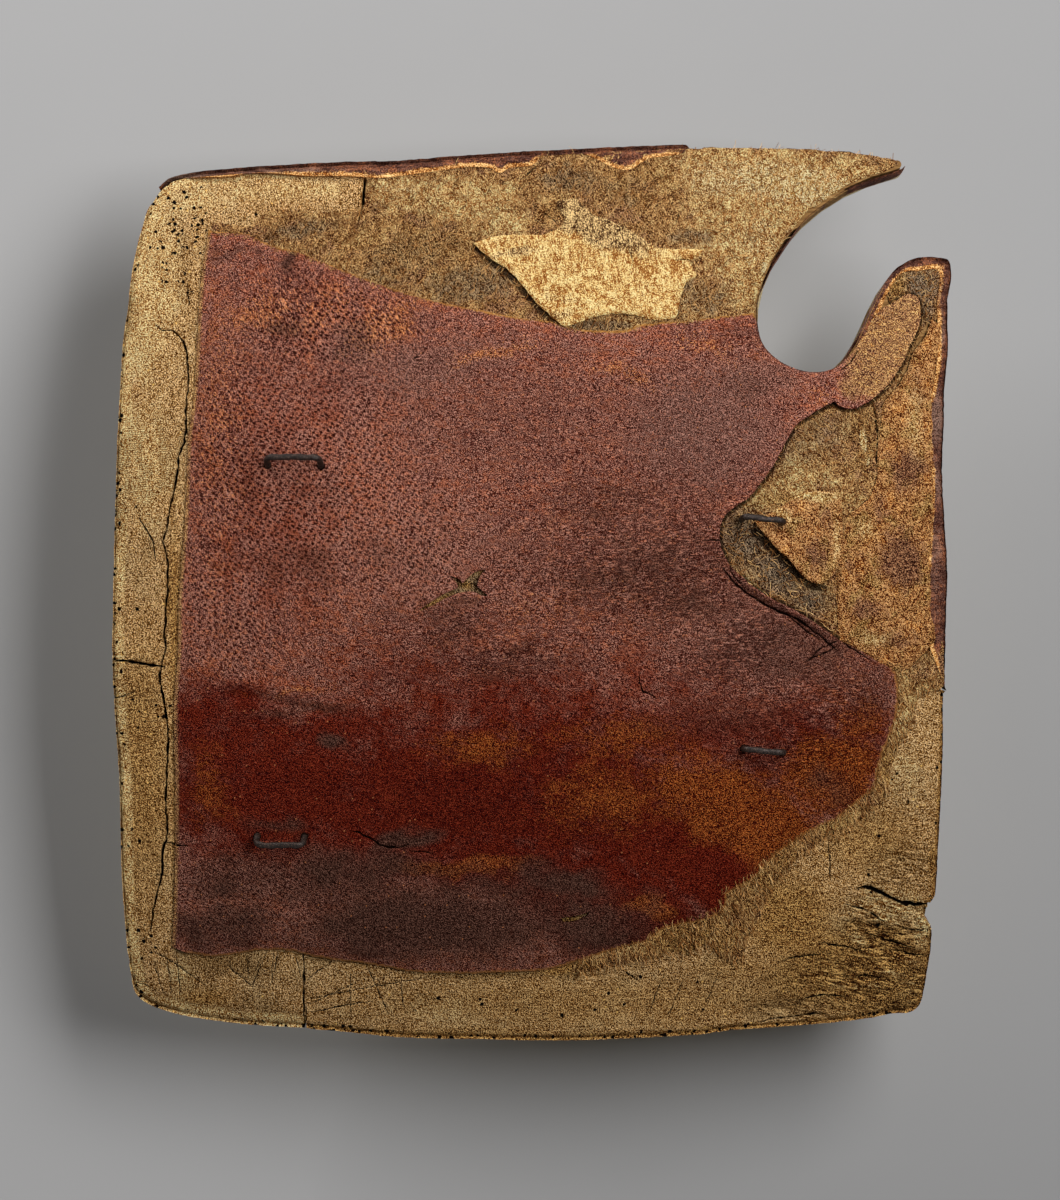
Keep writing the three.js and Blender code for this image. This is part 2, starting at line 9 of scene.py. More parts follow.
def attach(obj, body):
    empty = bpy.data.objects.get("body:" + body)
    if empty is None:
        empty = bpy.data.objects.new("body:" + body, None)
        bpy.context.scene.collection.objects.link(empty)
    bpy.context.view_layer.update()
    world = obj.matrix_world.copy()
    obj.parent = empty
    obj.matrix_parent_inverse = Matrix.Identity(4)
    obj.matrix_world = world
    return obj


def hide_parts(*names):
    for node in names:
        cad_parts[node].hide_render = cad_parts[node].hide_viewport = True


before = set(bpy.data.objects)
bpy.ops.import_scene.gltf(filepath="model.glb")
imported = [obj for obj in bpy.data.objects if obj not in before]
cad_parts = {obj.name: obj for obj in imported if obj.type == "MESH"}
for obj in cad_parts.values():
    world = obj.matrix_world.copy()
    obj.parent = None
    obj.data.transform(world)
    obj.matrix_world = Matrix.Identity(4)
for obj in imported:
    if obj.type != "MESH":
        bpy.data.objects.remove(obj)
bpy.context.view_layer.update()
print("frame:", len(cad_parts), "nodes")

mm = 0.001

shield = {
    "width": 504 * mm,
    "height": 540 * mm,
    "heightBow": 45 * mm,  # how far the top and bottom edges stand behind the middle
    "sideBow": 18 * mm,
    "photoLeft": 115,  # the shield's edges in the photograph, in pixels
    "photoRight": 951,
    "photoTop": 145,
    "photoBottom": 1040,
    "fibreDepth": 2.1 * mm,  # how deep the layers' faces lie behind the lining's
    "coreDepth": 3.6 * mm,
    "coreFront": 13.6 * mm,
    "hideFront": 15.3 * mm,
    "gessoFront": 17.5 * mm,
}


# Places and distances

def spots(pixels):
    # pixels of the photograph, as places on the shield seen straight on
    pixels = np.array(pixels, float).reshape(-1, 2)
    wide = shield["photoRight"] - shield["photoLeft"]
    tall = shield["photoBottom"] - shield["photoTop"]
    across = (pixels[:, 0] - shield["photoLeft"]) / wide - 0.5
    up = (shield["photoBottom"] - pixels[:, 1]) / tall - 0.5
    return np.column_stack((across * shield["width"], up * shield["height"]))


pixel = shield["width"] / (shield["photoRight"] - shield["photoLeft"])


def through(flat):
    # the direction square to the shield's back, towards its front
    slope = np.column_stack((
        -2 * shield["sideBow"] * flat[:, 0] / (shield["width"] / 2) ** 2,
        np.ones(len(flat)),
        -2 * shield["heightBow"] * flat[:, 1] / (shield["height"] / 2) ** 2,
    ))
    return slope / np.linalg.norm(slope, axis=1, keepdims=True)


def laid(flat, depth):
    # places on the bowed shield at a depth behind the lining's face
    bow = shield["heightBow"] * (flat[:, 1] / (shield["height"] / 2)) ** 2
    bow = bow + shield["sideBow"] * (flat[:, 0] / (shield["width"] / 2)) ** 2
    back = np.column_stack((flat[:, 0], bow, flat[:, 1]))
    return back + through(flat) * np.broadcast_to(depth, len(flat))[:, None]


def smoothStep(value, low, high):
    share = np.clip((value - low) / (high - low), 0, 1)
    return share * share * (3 - 2 * share)


def fading(value, low, high):
    # 1 up to the low value, and 0 from the high one
    return 1 - smoothStep(value, low, high)


def ripple(flat, size, seed, stretch=1.0, turn=0.0, octaves=3):
    # smooth noise between -1 and 1, with waves about as long as the size
    dice = np.random.default_rng(seed)
    cos, sin = math.cos(turn), math.sin(turn)
    u = (flat[:, 0] * cos + flat[:, 1] * sin) / (size * stretch)
    v = (flat[:, 1] * cos - flat[:, 0] * sin) / size
    total, weight, weights = np.zeros(len(flat)), 1.0, 0.0
    for _ in range(octaves):
        lattice = dice.uniform(-1, 1, (97, 97))
        a, b = u + dice.uniform(0, 97), v + dice.uniform(0, 97)
        i, j = np.floor(a).astype(int), np.floor(b).astype(int)
        s, t = smoothStep(a - i, 0, 1), smoothStep(b - j, 0, 1)
        i, j, nextI, nextJ = i % 97, j % 97, (i + 1) % 97, (j + 1) % 97
        low = lattice[i, j] * (1 - s) + lattice[nextI, j] * s
        high = lattice[i, nextJ] * (1 - s) + lattice[nextI, nextJ] * s
        total += weight * (low * (1 - t) + high * t)
        weights += weight
        weight, u, v = weight / 2, u * 2, v * 2
    return total / weights


def gapTo(flat, line, reach):
    # how far each place lies from a line, up to a reach
    order = np.argsort(flat[:, 0])
    places = flat[order]
    best = np.full(len(flat), float(reach))
    for a, b in zip(line[:-1], line[1:]):
        ends = min(a[0], b[0]) - reach, max(a[0], b[0]) + reach
        low, high = np.searchsorted(places[:, 0], ends)
        run, away = b - a, places[low:high] - a
        share = np.clip(away @ run / max(run @ run, 1e-12), 0, 1)
        away -= share[:, None] * run
        np.minimum(best[low:high], np.hypot(away[:, 0], away[:, 1]), out=best[low:high])
    gap = np.empty(len(flat))
    gap[order] = best
    return gap


def gapToPixels(flat, line, reach, step=3 * mm):
    return gapTo(flat, curve(spots(line), step), reach)


def inside(flat, loop):
    order = np.argsort(flat[:, 1])
    x, z = flat[order].T
    odd = np.zeros(len(flat), bool)
    for (ax, az), (bx, bz) in zip(loop, np.roll(loop, -1, axis=0)):
        low, high = np.searchsorted(z, (min(az, bz), max(az, bz)))
        if high > low:
            odd[low:high] ^= x[low:high] < (bx - ax) * (z[low:high] - az) / (bz - az) + ax
    result = np.empty(len(flat), bool)
    result[order] = odd
    return result


def curve(line, step):
    # a smooth line through places, with a point at every step
    ends = np.vstack((2 * line[0] - line[1], line, 2 * line[-1] - line[-2]))
    result = []
    for before, start, end, after in zip(ends, ends[1:], ends[2:], ends[3:]):
        chord = np.linalg.norm(end - start)
        startWay = (end - before) * chord / (chord + np.linalg.norm(start - before))
        endWay = (after - start) * chord / (chord + np.linalg.norm(after - end))
        count = max(1, round(chord / step))
        for t in np.arange(count) / count:
            result.append(
                start * (2 * t**3 - 3 * t**2 + 1) + startWay * (t**3 - 2 * t**2 + t)
                + end * (3 * t**2 - 2 * t**3) + endWay * (t**3 - t**2)
            )
    return np.array(result + [ends[-2]])


def loopOf(step, runs):
    # a closed outline from runs of pixels, each smooth and ending at a corner where the next starts
    ends = runs[1:] + runs[:1]
    return np.vstack([curve(spots(run + end[:1]), step)[:-1] for run, end in zip(runs, ends)])


def frayed(loop, amount, size, seed):
    # roughens an outline along its length
    along = np.roll(loop, -1, axis=0) - np.roll(loop, 1, axis=0)
    along /= np.maximum(np.linalg.norm(along, axis=1, keepdims=True), 1e-9)
    across = np.column_stack((-along[:, 1], along[:, 0]))
    return loop + across * (amount * ripple(loop, size, seed))[:, None]


def tornLoop(runs, step, fray, wave, seed, depth=0.0):
    # a frayed outline, and its place on the lining's level if it shows at a depth, all in millimetres
    loop = frayed(loopOf(step * mm, runs), fray * mm, wave * mm, seed)
    return loop - through(loop)[:, [0, 2]] * depth * mm


def patches(flat, marks, wobble=4 * mm, seed=1):
    # soft patches: pixel across, pixel down, half width, half height, strength, and turn in degrees if any
    shift = np.column_stack((ripple(flat, 14 * mm, seed), ripple(flat, 14 * mm, seed + 1))) * wobble
    places = flat + shift
    result = np.zeros(len(flat))
    for across, down, wide, tall, strength, *turned in marks:
        away = places - spots([(across, down)])[0]
        turn = math.radians(sum(turned))
        cos, sin = math.cos(turn), math.sin(turn)
        u = (away[:, 0] * cos + away[:, 1] * sin) / (wide * pixel)
        v = (away[:, 1] * cos - away[:, 0] * sin) / (tall * pixel)
        result = np.maximum(result, strength * fading(np.hypot(u, v), 0.2, 1.45))
    return result


# Meshes

def gridPoints(loops, pitch, dice):
    low = np.min([loop.min(0) for loop in loops], axis=0)
    high = np.max([loop.max(0) for loop in loops], axis=0)
    xs = np.arange(low[0], high[0], pitch)
    zs = np.arange(low[1], high[1], pitch * 0.866)
    x, z = np.meshgrid(xs, zs)
    x = x + (np.arange(len(zs)) % 2)[:, None] * pitch / 2
    flat = np.column_stack((x.ravel(), z.ravel()))
    return flat + dice.uniform(-0.22, 0.22, flat.shape) * pitch


def rimPoints(loops, distances):
    rows = []
    for loop in loops:
        along = np.roll(loop, -1, axis=0) - np.roll(loop, 1, axis=0)
        along /= np.maximum(np.linalg.norm(along, axis=1, keepdims=True), 1e-9)
        across = np.column_stack((-along[:, 1], along[:, 0]))
        for distance in distances:
            rows.append(loop + across * distance)
            rows.append(loop - across * distance)
    return np.vstack(rows)


def within(flat, loops):
    odd = np.zeros(len(flat), bool)
    for loop in loops:
        odd ^= inside(flat, loop)
    return odd


def edgeGap(flat, loops, reach):
    gaps = [gapTo(flat, np.vstack((loop, loop[:1])), reach) for loop in loops]
    return np.min(gaps, axis=0)


def sheet(name, loops, form, grooves=(), pitch=2.0 * mm, wallTo=0.0, seed=3, hidden=None,
          rims=(0.5, 1.2), rough=0.25, reach=14 * mm, front=False):
    # loops bound it, form(flat, gap) gives depths and marks, and its edges run on to wallTo
    dice = np.random.default_rng(seed)
    grid = gridPoints(loops, pitch, dice)
    if hidden is not None:
        # what other layers cover needs few points
        covered = inside(grid, hidden) & (gapTo(grid, np.vstack((hidden, hidden[:1])), 5 * mm) > 4.9 * mm)
        wide = gridPoints(loops, 12 * mm, dice)
        grid = np.vstack((grid[~covered], wide[inside(wide, hidden)]))
    rows = [grid, rimPoints(loops, [rim * mm for rim in rims])]
    for line, width in grooves:
        fine = curve(line, 1.1 * mm)
        along = np.gradient(fine, axis=0)
        along /= np.maximum(np.linalg.norm(along, axis=1, keepdims=True), 1e-9)
        across = np.column_stack((-along[:, 1], along[:, 0])) * width
        rows += [fine, fine + across / 2, fine - across / 2, fine + across, fine - across]
    points = np.vstack(rows)
    points = points[within(points, loops)]
    points = points[edgeGap(points, loops, 1 * mm) > 0.3 * mm]
    edges, total = [], 0
    for loop in loops:
        count = len(loop)
        edges += [(total + i, total + (i + 1) % count) for i in range(count)]
        total += count
    allPoints = np.vstack(loops + [points]) / mm
    cut = delaunay_2d_cdt([Vector(p) for p in allPoints], edges, [], 0, 1e-5, False)
    flat = np.array([tuple(v) for v in cut[0]]) * mm
    faces = np.array([face for face in cut[2] if len(face) == 3])
    faces = faces[within(flat[faces].mean(axis=1), loops)]
    used, faces = np.unique(faces, return_inverse=True)
    flat, faces = flat[used], faces.reshape(-1, 3)
    gap = edgeGap(flat, loops, reach)
    depth, marks = form(flat, gap)
    marks["edge"] = gap
    count = len(flat)
    starts = faces[:, [0, 1, 2]].ravel()
    ends = faces[:, [1, 2, 0]].ravel()
    alone = ~np.isin(starts * count + ends, ends * count + starts)
    starts, ends = starts[alone], ends[alone]
    ring = np.unique(starts)
    step = np.zeros((count, 2))
    step[starts] += flat[ends] - flat[starts]
    step[ends] += flat[ends] - flat[starts]
    outward = np.column_stack((step[ring, 1], -step[ring, 0]))
    outward /= np.maximum(np.linalg.norm(outward, axis=1, keepdims=True), 1e-9)
    places = [laid(flat, depth)]
    quads = []
    last = dict(zip(ring.tolist(), ring.tolist()))
    wallRows = 3
    for row in range(1, wallRows + 1):
        share = row / wallRows
        wallFlat = flat[ring].copy()
        if row < wallRows:
            wave = ripple(flat[ring], 1.6 * mm, seed + row, octaves=2)
            wallFlat += outward * (wave * rough * mm)[:, None]
        wallDepth = depth[ring] + (wallTo - depth[ring]) * share
        places.append(laid(wallFlat, wallDepth))
        base = count + (row - 1) * len(ring)
        here = dict(zip(ring.tolist(), range(base, base + len(ring))))
        quads += [(last[b], last[a], here[a], here[b]) for a, b in zip(starts.tolist(), ends.tolist())]
        last = here
        for key in marks:
            marks[key] = np.concatenate((marks[key], marks[key][ring]))
    sides = faces.tolist() + quads
    if front:
        sides = [side[::-1] for side in sides]
    return meshObject(name, np.vstack(places), sides, marks)


def meshObject(name, places, faces, marks=None, sharpAngle=50):
    mesh = bpy.data.meshes.new(name)
    mesh.from_pydata(np.asarray(places).tolist(), [], faces)
    for key, values in (marks or {}).items():
        layer = mesh.attributes.new(key, "FLOAT", "POINT")
        layer.data.foreach_set("value", np.asarray(values, np.float32))
    mesh.shade_smooth()
    mesh.set_sharp_from_angle(angle=math.radians(sharpAngle))
    piece = bpy.data.objects.new(name, mesh)
    bpy.context.scene.collection.objects.link(piece)
    print("made", name, len(mesh.polygons), "faces")
    return piece


def dress(piece, material, slot, *nodes):
    piece.data.materials.append(material)
    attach(piece, "root")
    if nodes:
        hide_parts(*nodes)


def crackLines(cracks, seed):
    # cracks of a width and depth in millimetres, along lines of pixels
    result = []
    for width, deep, line in cracks:
        line = curve(spots(line), 1.2 * mm)
        sway = [ripple(line, 2.4 * mm, seed + i) + ripple(line, 7 * mm, seed + i) for i in (0, 1)]
        result.append((width, deep, line + 0.55 * mm * np.column_stack(sway)))
    return result


def crackPlaces(lines):
    return [(line, width * mm) for width, deep, line in lines]


def crackForm(flat, lines, seed):
    # how far outside the nearest crack each place lies, in millimetres, and how deep it lies in it
    gap, depth = np.full(len(flat), 3.0), np.zeros(len(flat))
    for width, deep, line in lines:
        near = gapTo(flat, line, 4 * mm) / mm
        tips = np.linalg.norm(flat[:, None] - line[[0, -1]][None], axis=2).min(1)
        half = width / 2 * (0.3 + 0.7 * smoothStep(tips, 0, 8 * mm))
        half = half * np.clip(0.8 + 1.1 * ripple(flat, 3 * mm, seed), 0.05, 1.6)
        gap = np.minimum(gap, near - half)
        depth = np.maximum(depth, deep * mm * fading(near, 0.2 * half, half + 0.3))
    return gap, depth


def falloff(gap, height, width):
    # a height that fades out over a width, both in millimetres
    return height * mm * fading(gap, 0, width * mm)


def waved(flat, piece):
    # a piece's depth less its waves, each with a height and a length in millimetres
    depth = piece["depth"] * mm
    for i, (height, size) in enumerate(piece["waves"]):
        depth = depth - height * mm * ripple(flat, size * mm, piece["seed"] + i)
    return depth


def withRidges(depth, flat, ridges):
    # a depth less the ridges, each with its width in pixels, height in millimetres and line
    for width, height, line in ridges:
        half = width * pixel / 2
        depth = depth - height * mm * fading(gapToPixels(flat, line, half), 0, half)
    return depth


def patchMarks(flat, piece, keys, wobble, seed):
    return {key: patches(flat, piece[key], wobble, seed) for key in keys}


def arris(gap, radius):
    # how far a rounded edge falls away
    inner = np.clip(radius - gap, 0, radius)
    return radius - np.sqrt(radius**2 - inner**2)


# Material nodes

def tone(red, green, blue):
    # a colour as the screen shows it
    shares = [value / 255 for value in (red, green, blue)]
    return tuple(s / 12.92 if s <= 0.04045 else ((s + 0.055) / 1.055) ** 2.4 for s in shares) + (1.0,)


# the node tree that the functions below add to
work = {}


def start(name):
    material = bpy.data.materials.new(name)
    material.use_nodes = True
    work["tree"] = material.node_tree
    return material, material.node_tree.nodes["Principled BSDF"]


def give(socket, value):
    if isinstance(value, bpy.types.NodeSocket):
        work["tree"].links.new(value, socket)
    else:
        socket.default_value = value


def put(kind, sockets=None, **settings):
    node = work["tree"].nodes.new(kind)
    for key, value in settings.items():
        setattr(node, key, value)
    for socket, value in (sockets or {}).items():
        give(node.inputs[socket], value)
    return node


def stretched(sizes, turn=0.0):
    # coordinates in which a texture's features have these sizes, in millimetres
    where = put("ShaderNodeTexCoord").outputs["Object"]
    return put(
        "ShaderNodeMapping",
        {"Vector": where, "Rotation": (0, math.radians(-turn), 0), "Scale": tuple(s * mm for s in sizes)},
        vector_type="TEXTURE",
    ).outputs["Vector"]


def grain(sizes, turn=0.0, detail=3.0, roughness=0.55, distortion=0.0):
    return put("ShaderNodeTexNoise", {
        "Vector": stretched(sizes, turn), "Scale": 1.0, "Detail": detail,
        "Roughness": roughness, "Distortion": distortion,
    }).outputs["Fac"]


def cells(sizes, turn=0.0, output="Distance", feature="F1", randomness=1.0):
    # cells of a pattern that lies flat across the shield
    place = put("ShaderNodeSeparateXYZ", {"Vector": stretched(sizes, turn)}).outputs
    flat = put("ShaderNodeCombineXYZ", {"X": place["X"], "Y": place["Z"]}).outputs[0]
    return put(
        "ShaderNodeTexVoronoi", {"Vector": flat, "Scale": 1.0, "Randomness": randomness},
        voronoi_dimensions="2D", feature=feature,
    ).outputs[output]


def mark(name):
    return put("ShaderNodeAttribute", attribute_name=name).outputs["Fac"]


def span(value, low, high, to=(0.0, 1.0)):
    return put(
        "ShaderNodeMapRange",
        {"Value": value, "From Min": low, "From Max": high, "To Min": to[0], "To Max": to[1]},
        interpolation_type="SMOOTHSTEP",
    ).outputs["Result"]


def sums(how, a, b, c=0.0):
    return put("ShaderNodeMath", {0: a, 1: b, 2: c}, operation=how).outputs[0]


def times(a, b):
    return sums("MULTIPLY", a, b)


def most(a, b):
    return sums("MAXIMUM", a, b)


def added(value, gain, total):
    return sums("MULTIPLY_ADD", value, gain, total)


def blend(share, a, b):
    # the Mix node's factor and its two colours
    return put("ShaderNodeMix", {0: share, 6: a, 7: b}, data_type="RGBA").outputs[2]


def tones(share, *stops):
    ramp = put("ShaderNodeValToRGB", {"Fac": share})
    elements = ramp.color_ramp.elements
    while len(elements) < len(stops):
        elements.new(0.5)
    for element, (position, colour) in zip(elements, stops):
        element.position = position
        element.color = tone(*colour)
    return ramp.outputs["Color"]


rampStops = (0.28, 0.4, 0.5, 0.6, 0.74)
rampSpread = 1.35


def ramp(share, *colours):
    # colours over a share, spread from the middle one
    colours = np.array(colours)
    spread = np.clip(colours[2] + rampSpread * (colours - colours[2]), 0, 255).tolist()
    return tones(share, *zip(rampStops, spread))


def thinLines(noise, width):
    # lines along which a noise passes its middle
    away = sums("ABSOLUTE", sums("SUBTRACT", noise, 0.5), 0.0)
    return span(away, width, 0.25 * width)


def uneven(name, noise, gain=1.0, low=0.15, high=0.85):
    # a mark whose edge follows a noise
    value = added(sums("SUBTRACT", noise, 0.5), gain, mark(name))
    return span(value, low, high)


def layered(*parts):
    # noises laid over each other round a half, each with a gain
    total = 0.5
    for value, gain in parts:
        total = added(sums("SUBTRACT", value, 0.5), gain, total)
    return total


def cracked(speck):
    # 1 within the cracks, whose edges the speckle makes uneven
    gap = added(speck, 0.9, mark("crack"))
    return span(gap, 0.72, 0.38)


def raised(height, distance):
    sockets = {"Height": height, "Distance": distance * mm, "Strength": 1.0}
    return put("ShaderNodeBump", sockets).outputs["Normal"]


def finish(shader, colour, roughness, normal, shine=0.03):
    shader.inputs["Specular IOR Level"].default_value = shine
    for socket, value in (("Base Color", colour), ("Roughness", roughness), ("Normal", normal)):
        give(shader.inputs[socket], value)


# The shield's outline, in pixels, clockwise from the upper left corner
outline = {
    "top": [
        (150, 200), (158, 187), (170, 177), (200, 171), (250, 167), (300, 164), (350, 162), (400, 161),
        (450, 157), (500, 153), (550, 151), (600, 148), (650, 146), (700, 144.5), (750, 144), (800, 145.5),
        (850, 148.5), (897, 155),
    ],
    "horn": [(904, 159), (907, 163), (902, 167)],
    "underHorn": [
        (880, 175), (860, 182), (843, 190), (826, 202), (811, 213), (799, 226), (788, 241), (779, 255),
        (771, 268), (765, 281), (758, 297),
    ],
    "seat": [
        (756, 313), (757, 328), (760, 341), (766, 351), (777, 361), (790, 368), (803, 372), (816, 373),
        (828, 371), (839, 365), (848, 355),
    ],
    "prong": [
        (855, 343), (862, 328), (868, 315), (875, 300), (881, 289), (888, 278), (896, 269), (905, 263),
        (916, 258.5), (930, 257),
    ],
    "upperRight": [
        (941, 258), (948, 260), (951, 267), (951, 280), (949, 291), (947, 302), (947, 345), (945, 370),
        (943, 390), (942, 430), (940.5, 455), (940, 475), (941.5, 510), (944, 550), (945, 575), (944, 605),
        (943, 645), (943, 689),
    ],
    "lowerRight": [(941, 693), (941, 740), (940, 780), (937, 850), (936, 880), (934, 895), (930, 902)],
    "chip": [(926, 908), (925, 917), (931, 925)],
    "corner": [
        (932, 935), (931, 950), (929, 965), (925, 990), (922, 1003), (915, 1011), (905, 1014), (893, 1014),
    ],
    "bottom": [
        (880, 1017), (850, 1021), (790, 1026), (730, 1030), (700, 1034), (650, 1037), (600, 1039),
        (550, 1040), (500, 1039), (400, 1037), (350, 1032), (306, 1028),
    ],
    "bottomLeft": [
        (304, 1028), (250, 1025), (200, 1019), (170, 1013), (150, 1006), (140, 1000), (133, 990),
        (130, 975),
    ],
    "left": [
        (127, 950), (124, 910), (122, 870), (121, 790), (119, 750), (117, 720), (116, 700), (115, 680),
        (114.5, 650), (115, 620), (116, 565), (117, 520), (118, 480), (119, 440), (121, 400), (124, 340),
        (128, 310), (131, 280), (136, 250), (141, 230), (147, 209),
    ],
}
edgeLoop = loopOf(1.6 * mm, list(outline.values()))
edgeLine = np.vstack((edgeLoop, edgeLoop[:1]))

border = {
    # the red lining's edges: over the top, down the notch and the torn side, and back along the bottom
    "top": [
        (208, 230), (230, 231), (250, 233), (262, 240), (280, 247), (300, 251), (320, 260), (345, 270),
        (370, 280), (400, 291), (430, 300), (470, 309), (500, 315), (530, 320), (552, 322), (568, 328),
        (594, 331.5), (626, 331.5), (640, 326), (677, 322), (715, 317.5), (753, 313),
    ],
    "tongue": [
        (850, 355), (857, 345), (866, 332), (874, 318), (882, 309), (895, 302), (908, 295), (917, 299),
        (919, 308), (919, 320), (914, 336), (907, 348), (903, 360), (897, 371), (889, 382), (880, 392),
        (871, 400), (861, 406), (852, 410), (843, 409.5), (837, 407),
    ],
    "crack": [(832, 403), (826, 406.5), (818, 410), (808, 417), (798, 423)],
    "loss": [
        (790, 432), (783, 445), (775, 460), (766, 474), (758, 485), (746, 499), (734, 507), (723, 516),
        (718, 528), (718, 541), (721, 553), (727, 565),
    ],
    "hollow": [
        (735, 573), (751, 587), (771.6, 600), (796, 612), (812, 622), (825, 631), (837, 639.6), (853, 648),
        (870, 658), (884, 666),
    ],
    "side": [(894, 672), (896, 690), (894, 718), (887, 738), (881, 752), (876, 772), (872, 789)],
    "corner": [
        (861, 797), (848, 808), (835, 818), (820, 825), (805, 833), (779, 851), (765, 864), (752, 878),
        (738, 886),
    ],
    "fringe": [
        (726, 894), (724, 909), (711, 917), (698, 921), (680, 924), (662, 929), (647, 940), (628, 946),
        (611, 950), (585, 958),
    ],
    "bottom": [
        (570, 963), (552, 968), (530, 971), (500, 972), (470, 973), (440, 972.5), (408, 971), (383, 966),
        (345, 961), (306, 955), (293, 951), (268, 950), (237, 954), (212, 957), (192, 954),
    ],
    "left": [
        (172, 948), (174, 910), (176, 848), (177, 782), (176, 705), (180, 650), (181, 600), (185, 550),
        (188, 500), (190, 440), (195, 400), (198, 350), (200, 300), (203, 265),
    ],
}
seatEdge = [(753, 313), (757, 328), (760, 341), (766, 351), (777, 361), (790, 368), (803, 372),
            (816, 373), (828, 371), (839, 365)]


def liningLoop(step):
    runs = [border["top"][:-1], seatEdge] + [border[key] for key in list(border)[1:]]
    return loopOf(step, runs)


# Wood: an upright stile at the left and a lower board across the bottom

def bareWood(name, upright):
    material, shader = start(name)
    sizes = (1.1, 5, 12) if upright else (12, 5, 1.0)
    mottle = (1.7, 2, 2.0) if upright else (2.2, 2, 1.6)
    fibres = grain(sizes, detail=3, roughness=0.6, distortion=0.4)
    speckle = grain(mottle, detail=2, roughness=0.6)
    fine = grain((0.62, 0.62, 0.7), detail=1)
    cloud = grain((22, 22, 30), detail=3)
    torn = mark("torn")
    fissure = grain((8, 4, 1.4), -14, detail=3, roughness=0.6, distortion=0.7)
    share = layered((fibres, 0.4), (speckle, 0.15), (fine, 2.0), (cloud, 0.2),
                    (fissure, times(torn, 1.5)))
    colour = ramp(share, (88, 50, 12), (140, 92, 38), (178, 128, 66), (211, 164, 102), (236, 192, 134))
    grey = ramp(share, (84, 58, 28), (132, 103, 62), (166, 134, 88), (194, 163, 113), (220, 190, 140))
    colour = blend(span(cloud, 0.48, 0.64, (0, 0.3)), colour, grey)
    dusky = ramp(share, (36, 16, 3), (68, 40, 13), (98, 64, 28), (130, 92, 48), (162, 124, 74))
    # dusky: dark patches, and painted shade in the eroded hollows of the wood
    colour = blend(uneven("dusky", cloud, 0.8, 0.05, 0.95), colour, dusky)
    rusty = ramp(share, (56, 24, 6), (100, 58, 22), (138, 88, 40), (176, 124, 64), (212, 164, 96))
    colour = blend(uneven("rusty", fine, 0.8), colour, rusty)
    pale = ramp(share, (128, 76, 20), (184, 130, 64), (216, 165, 99), (238, 193, 127), (252, 220, 158))
    # pale: pale patches and the bevel, and painted highlight on the eroded ridges
    colour = blend(uneven("pale", cloud, 1.2), colour, pale)
    scratches = 0.0
    for turn, veil in ((6, 14), (-26, 17), (64, 15), (84, 19)):
        line = thinLines(grain((2.0, 6, 34), turn, detail=0), 0.014)
        line = times(line, span(grain((veil, veil, veil), turn), 0.5, 0.58))
        scratches = most(line, scratches)
    scratches = times(scratches, mark("scratched"))
    teeth = put("ShaderNodeTexWave", {
        "Vector": stretched((1, 1, 1.75), -5), "Scale": 0.5, "Distortion": 1.6, "Detail": 1.0,
    }, bands_direction="Z").outputs["Fac"]
    teeth = times(span(teeth, 0.6, 0.25), mark("tooled"))
    teeth = times(teeth, span(cloud, 0.42, 0.5))
    colour = blend(times(teeth, 0.6), colour, tone(104, 66, 28))
    colour = blend(times(scratches, 0.7), colour, tone(66, 38, 12))
    nests = grain((9, 9, 9), detail=2)
    worms = times(mark("worm"), span(nests, 0.4, 0.6, (0.25, 1)))
    glint = sums("LESS_THAN", cells((4.6, 4.6, 4.6), 15, "Color"),
                 added(worms, 0.4, 0.1))
    glint = times(glint, span(cells((4.6, 4.6, 4.6), 15), 0.17, 0.1))
    colour = blend(glint, colour, tone(246, 196, 112))
    chance = cells((3.4, 3.4, 3.4), output="Color")
    hole = sums("LESS_THAN", chance, added(worms, 0.62, 0.045))
    size = span(grain((3.4, 3.4, 3.4)), 0.35, 0.65, (0.2, 0.42))
    hole = times(hole, sums("LESS_THAN", cells((3.4, 3.4, 3.4)), size))
    pores = span(grain((0.7, 0.7, 1.2) if upright else (1.3, 0.7, 0.7), detail=1), 0.37, 0.31)
    colour = blend(times(pores, 0.55), colour, tone(60, 34, 12))
    gaping = most(thinLines(fissure, 0.03), span(fissure, 0.39, 0.34))
    gaping = times(gaping, torn)
    colour = blend(times(gaping, 0.75), colour, tone(34, 18, 7))
    colour = blend(hole, colour, tone(12, 6, 3))
    colour = blend(cracked(fine), colour, tone(18, 9, 4))
    height = added(scratches, -0.5, share)
    height = added(teeth, -0.5, height)
    height = added(most(hole, gaping), -1.5, height)
    finish(shader, colour, 0.75, raised(height, 0.75))
    return material


wood = {
    "warp": 0.25 * mm,
    "fibre": 0.12 * mm,
    "arris": 2.2 * mm,
    "bevelWidth": 6.5 * mm,
    "bevelDepth": 0.5 * mm,
    "pitch": 2.0 * mm,
    "marks": ("worm", "tooled", "scratched", "dusky", "rusty", "pale"),
}


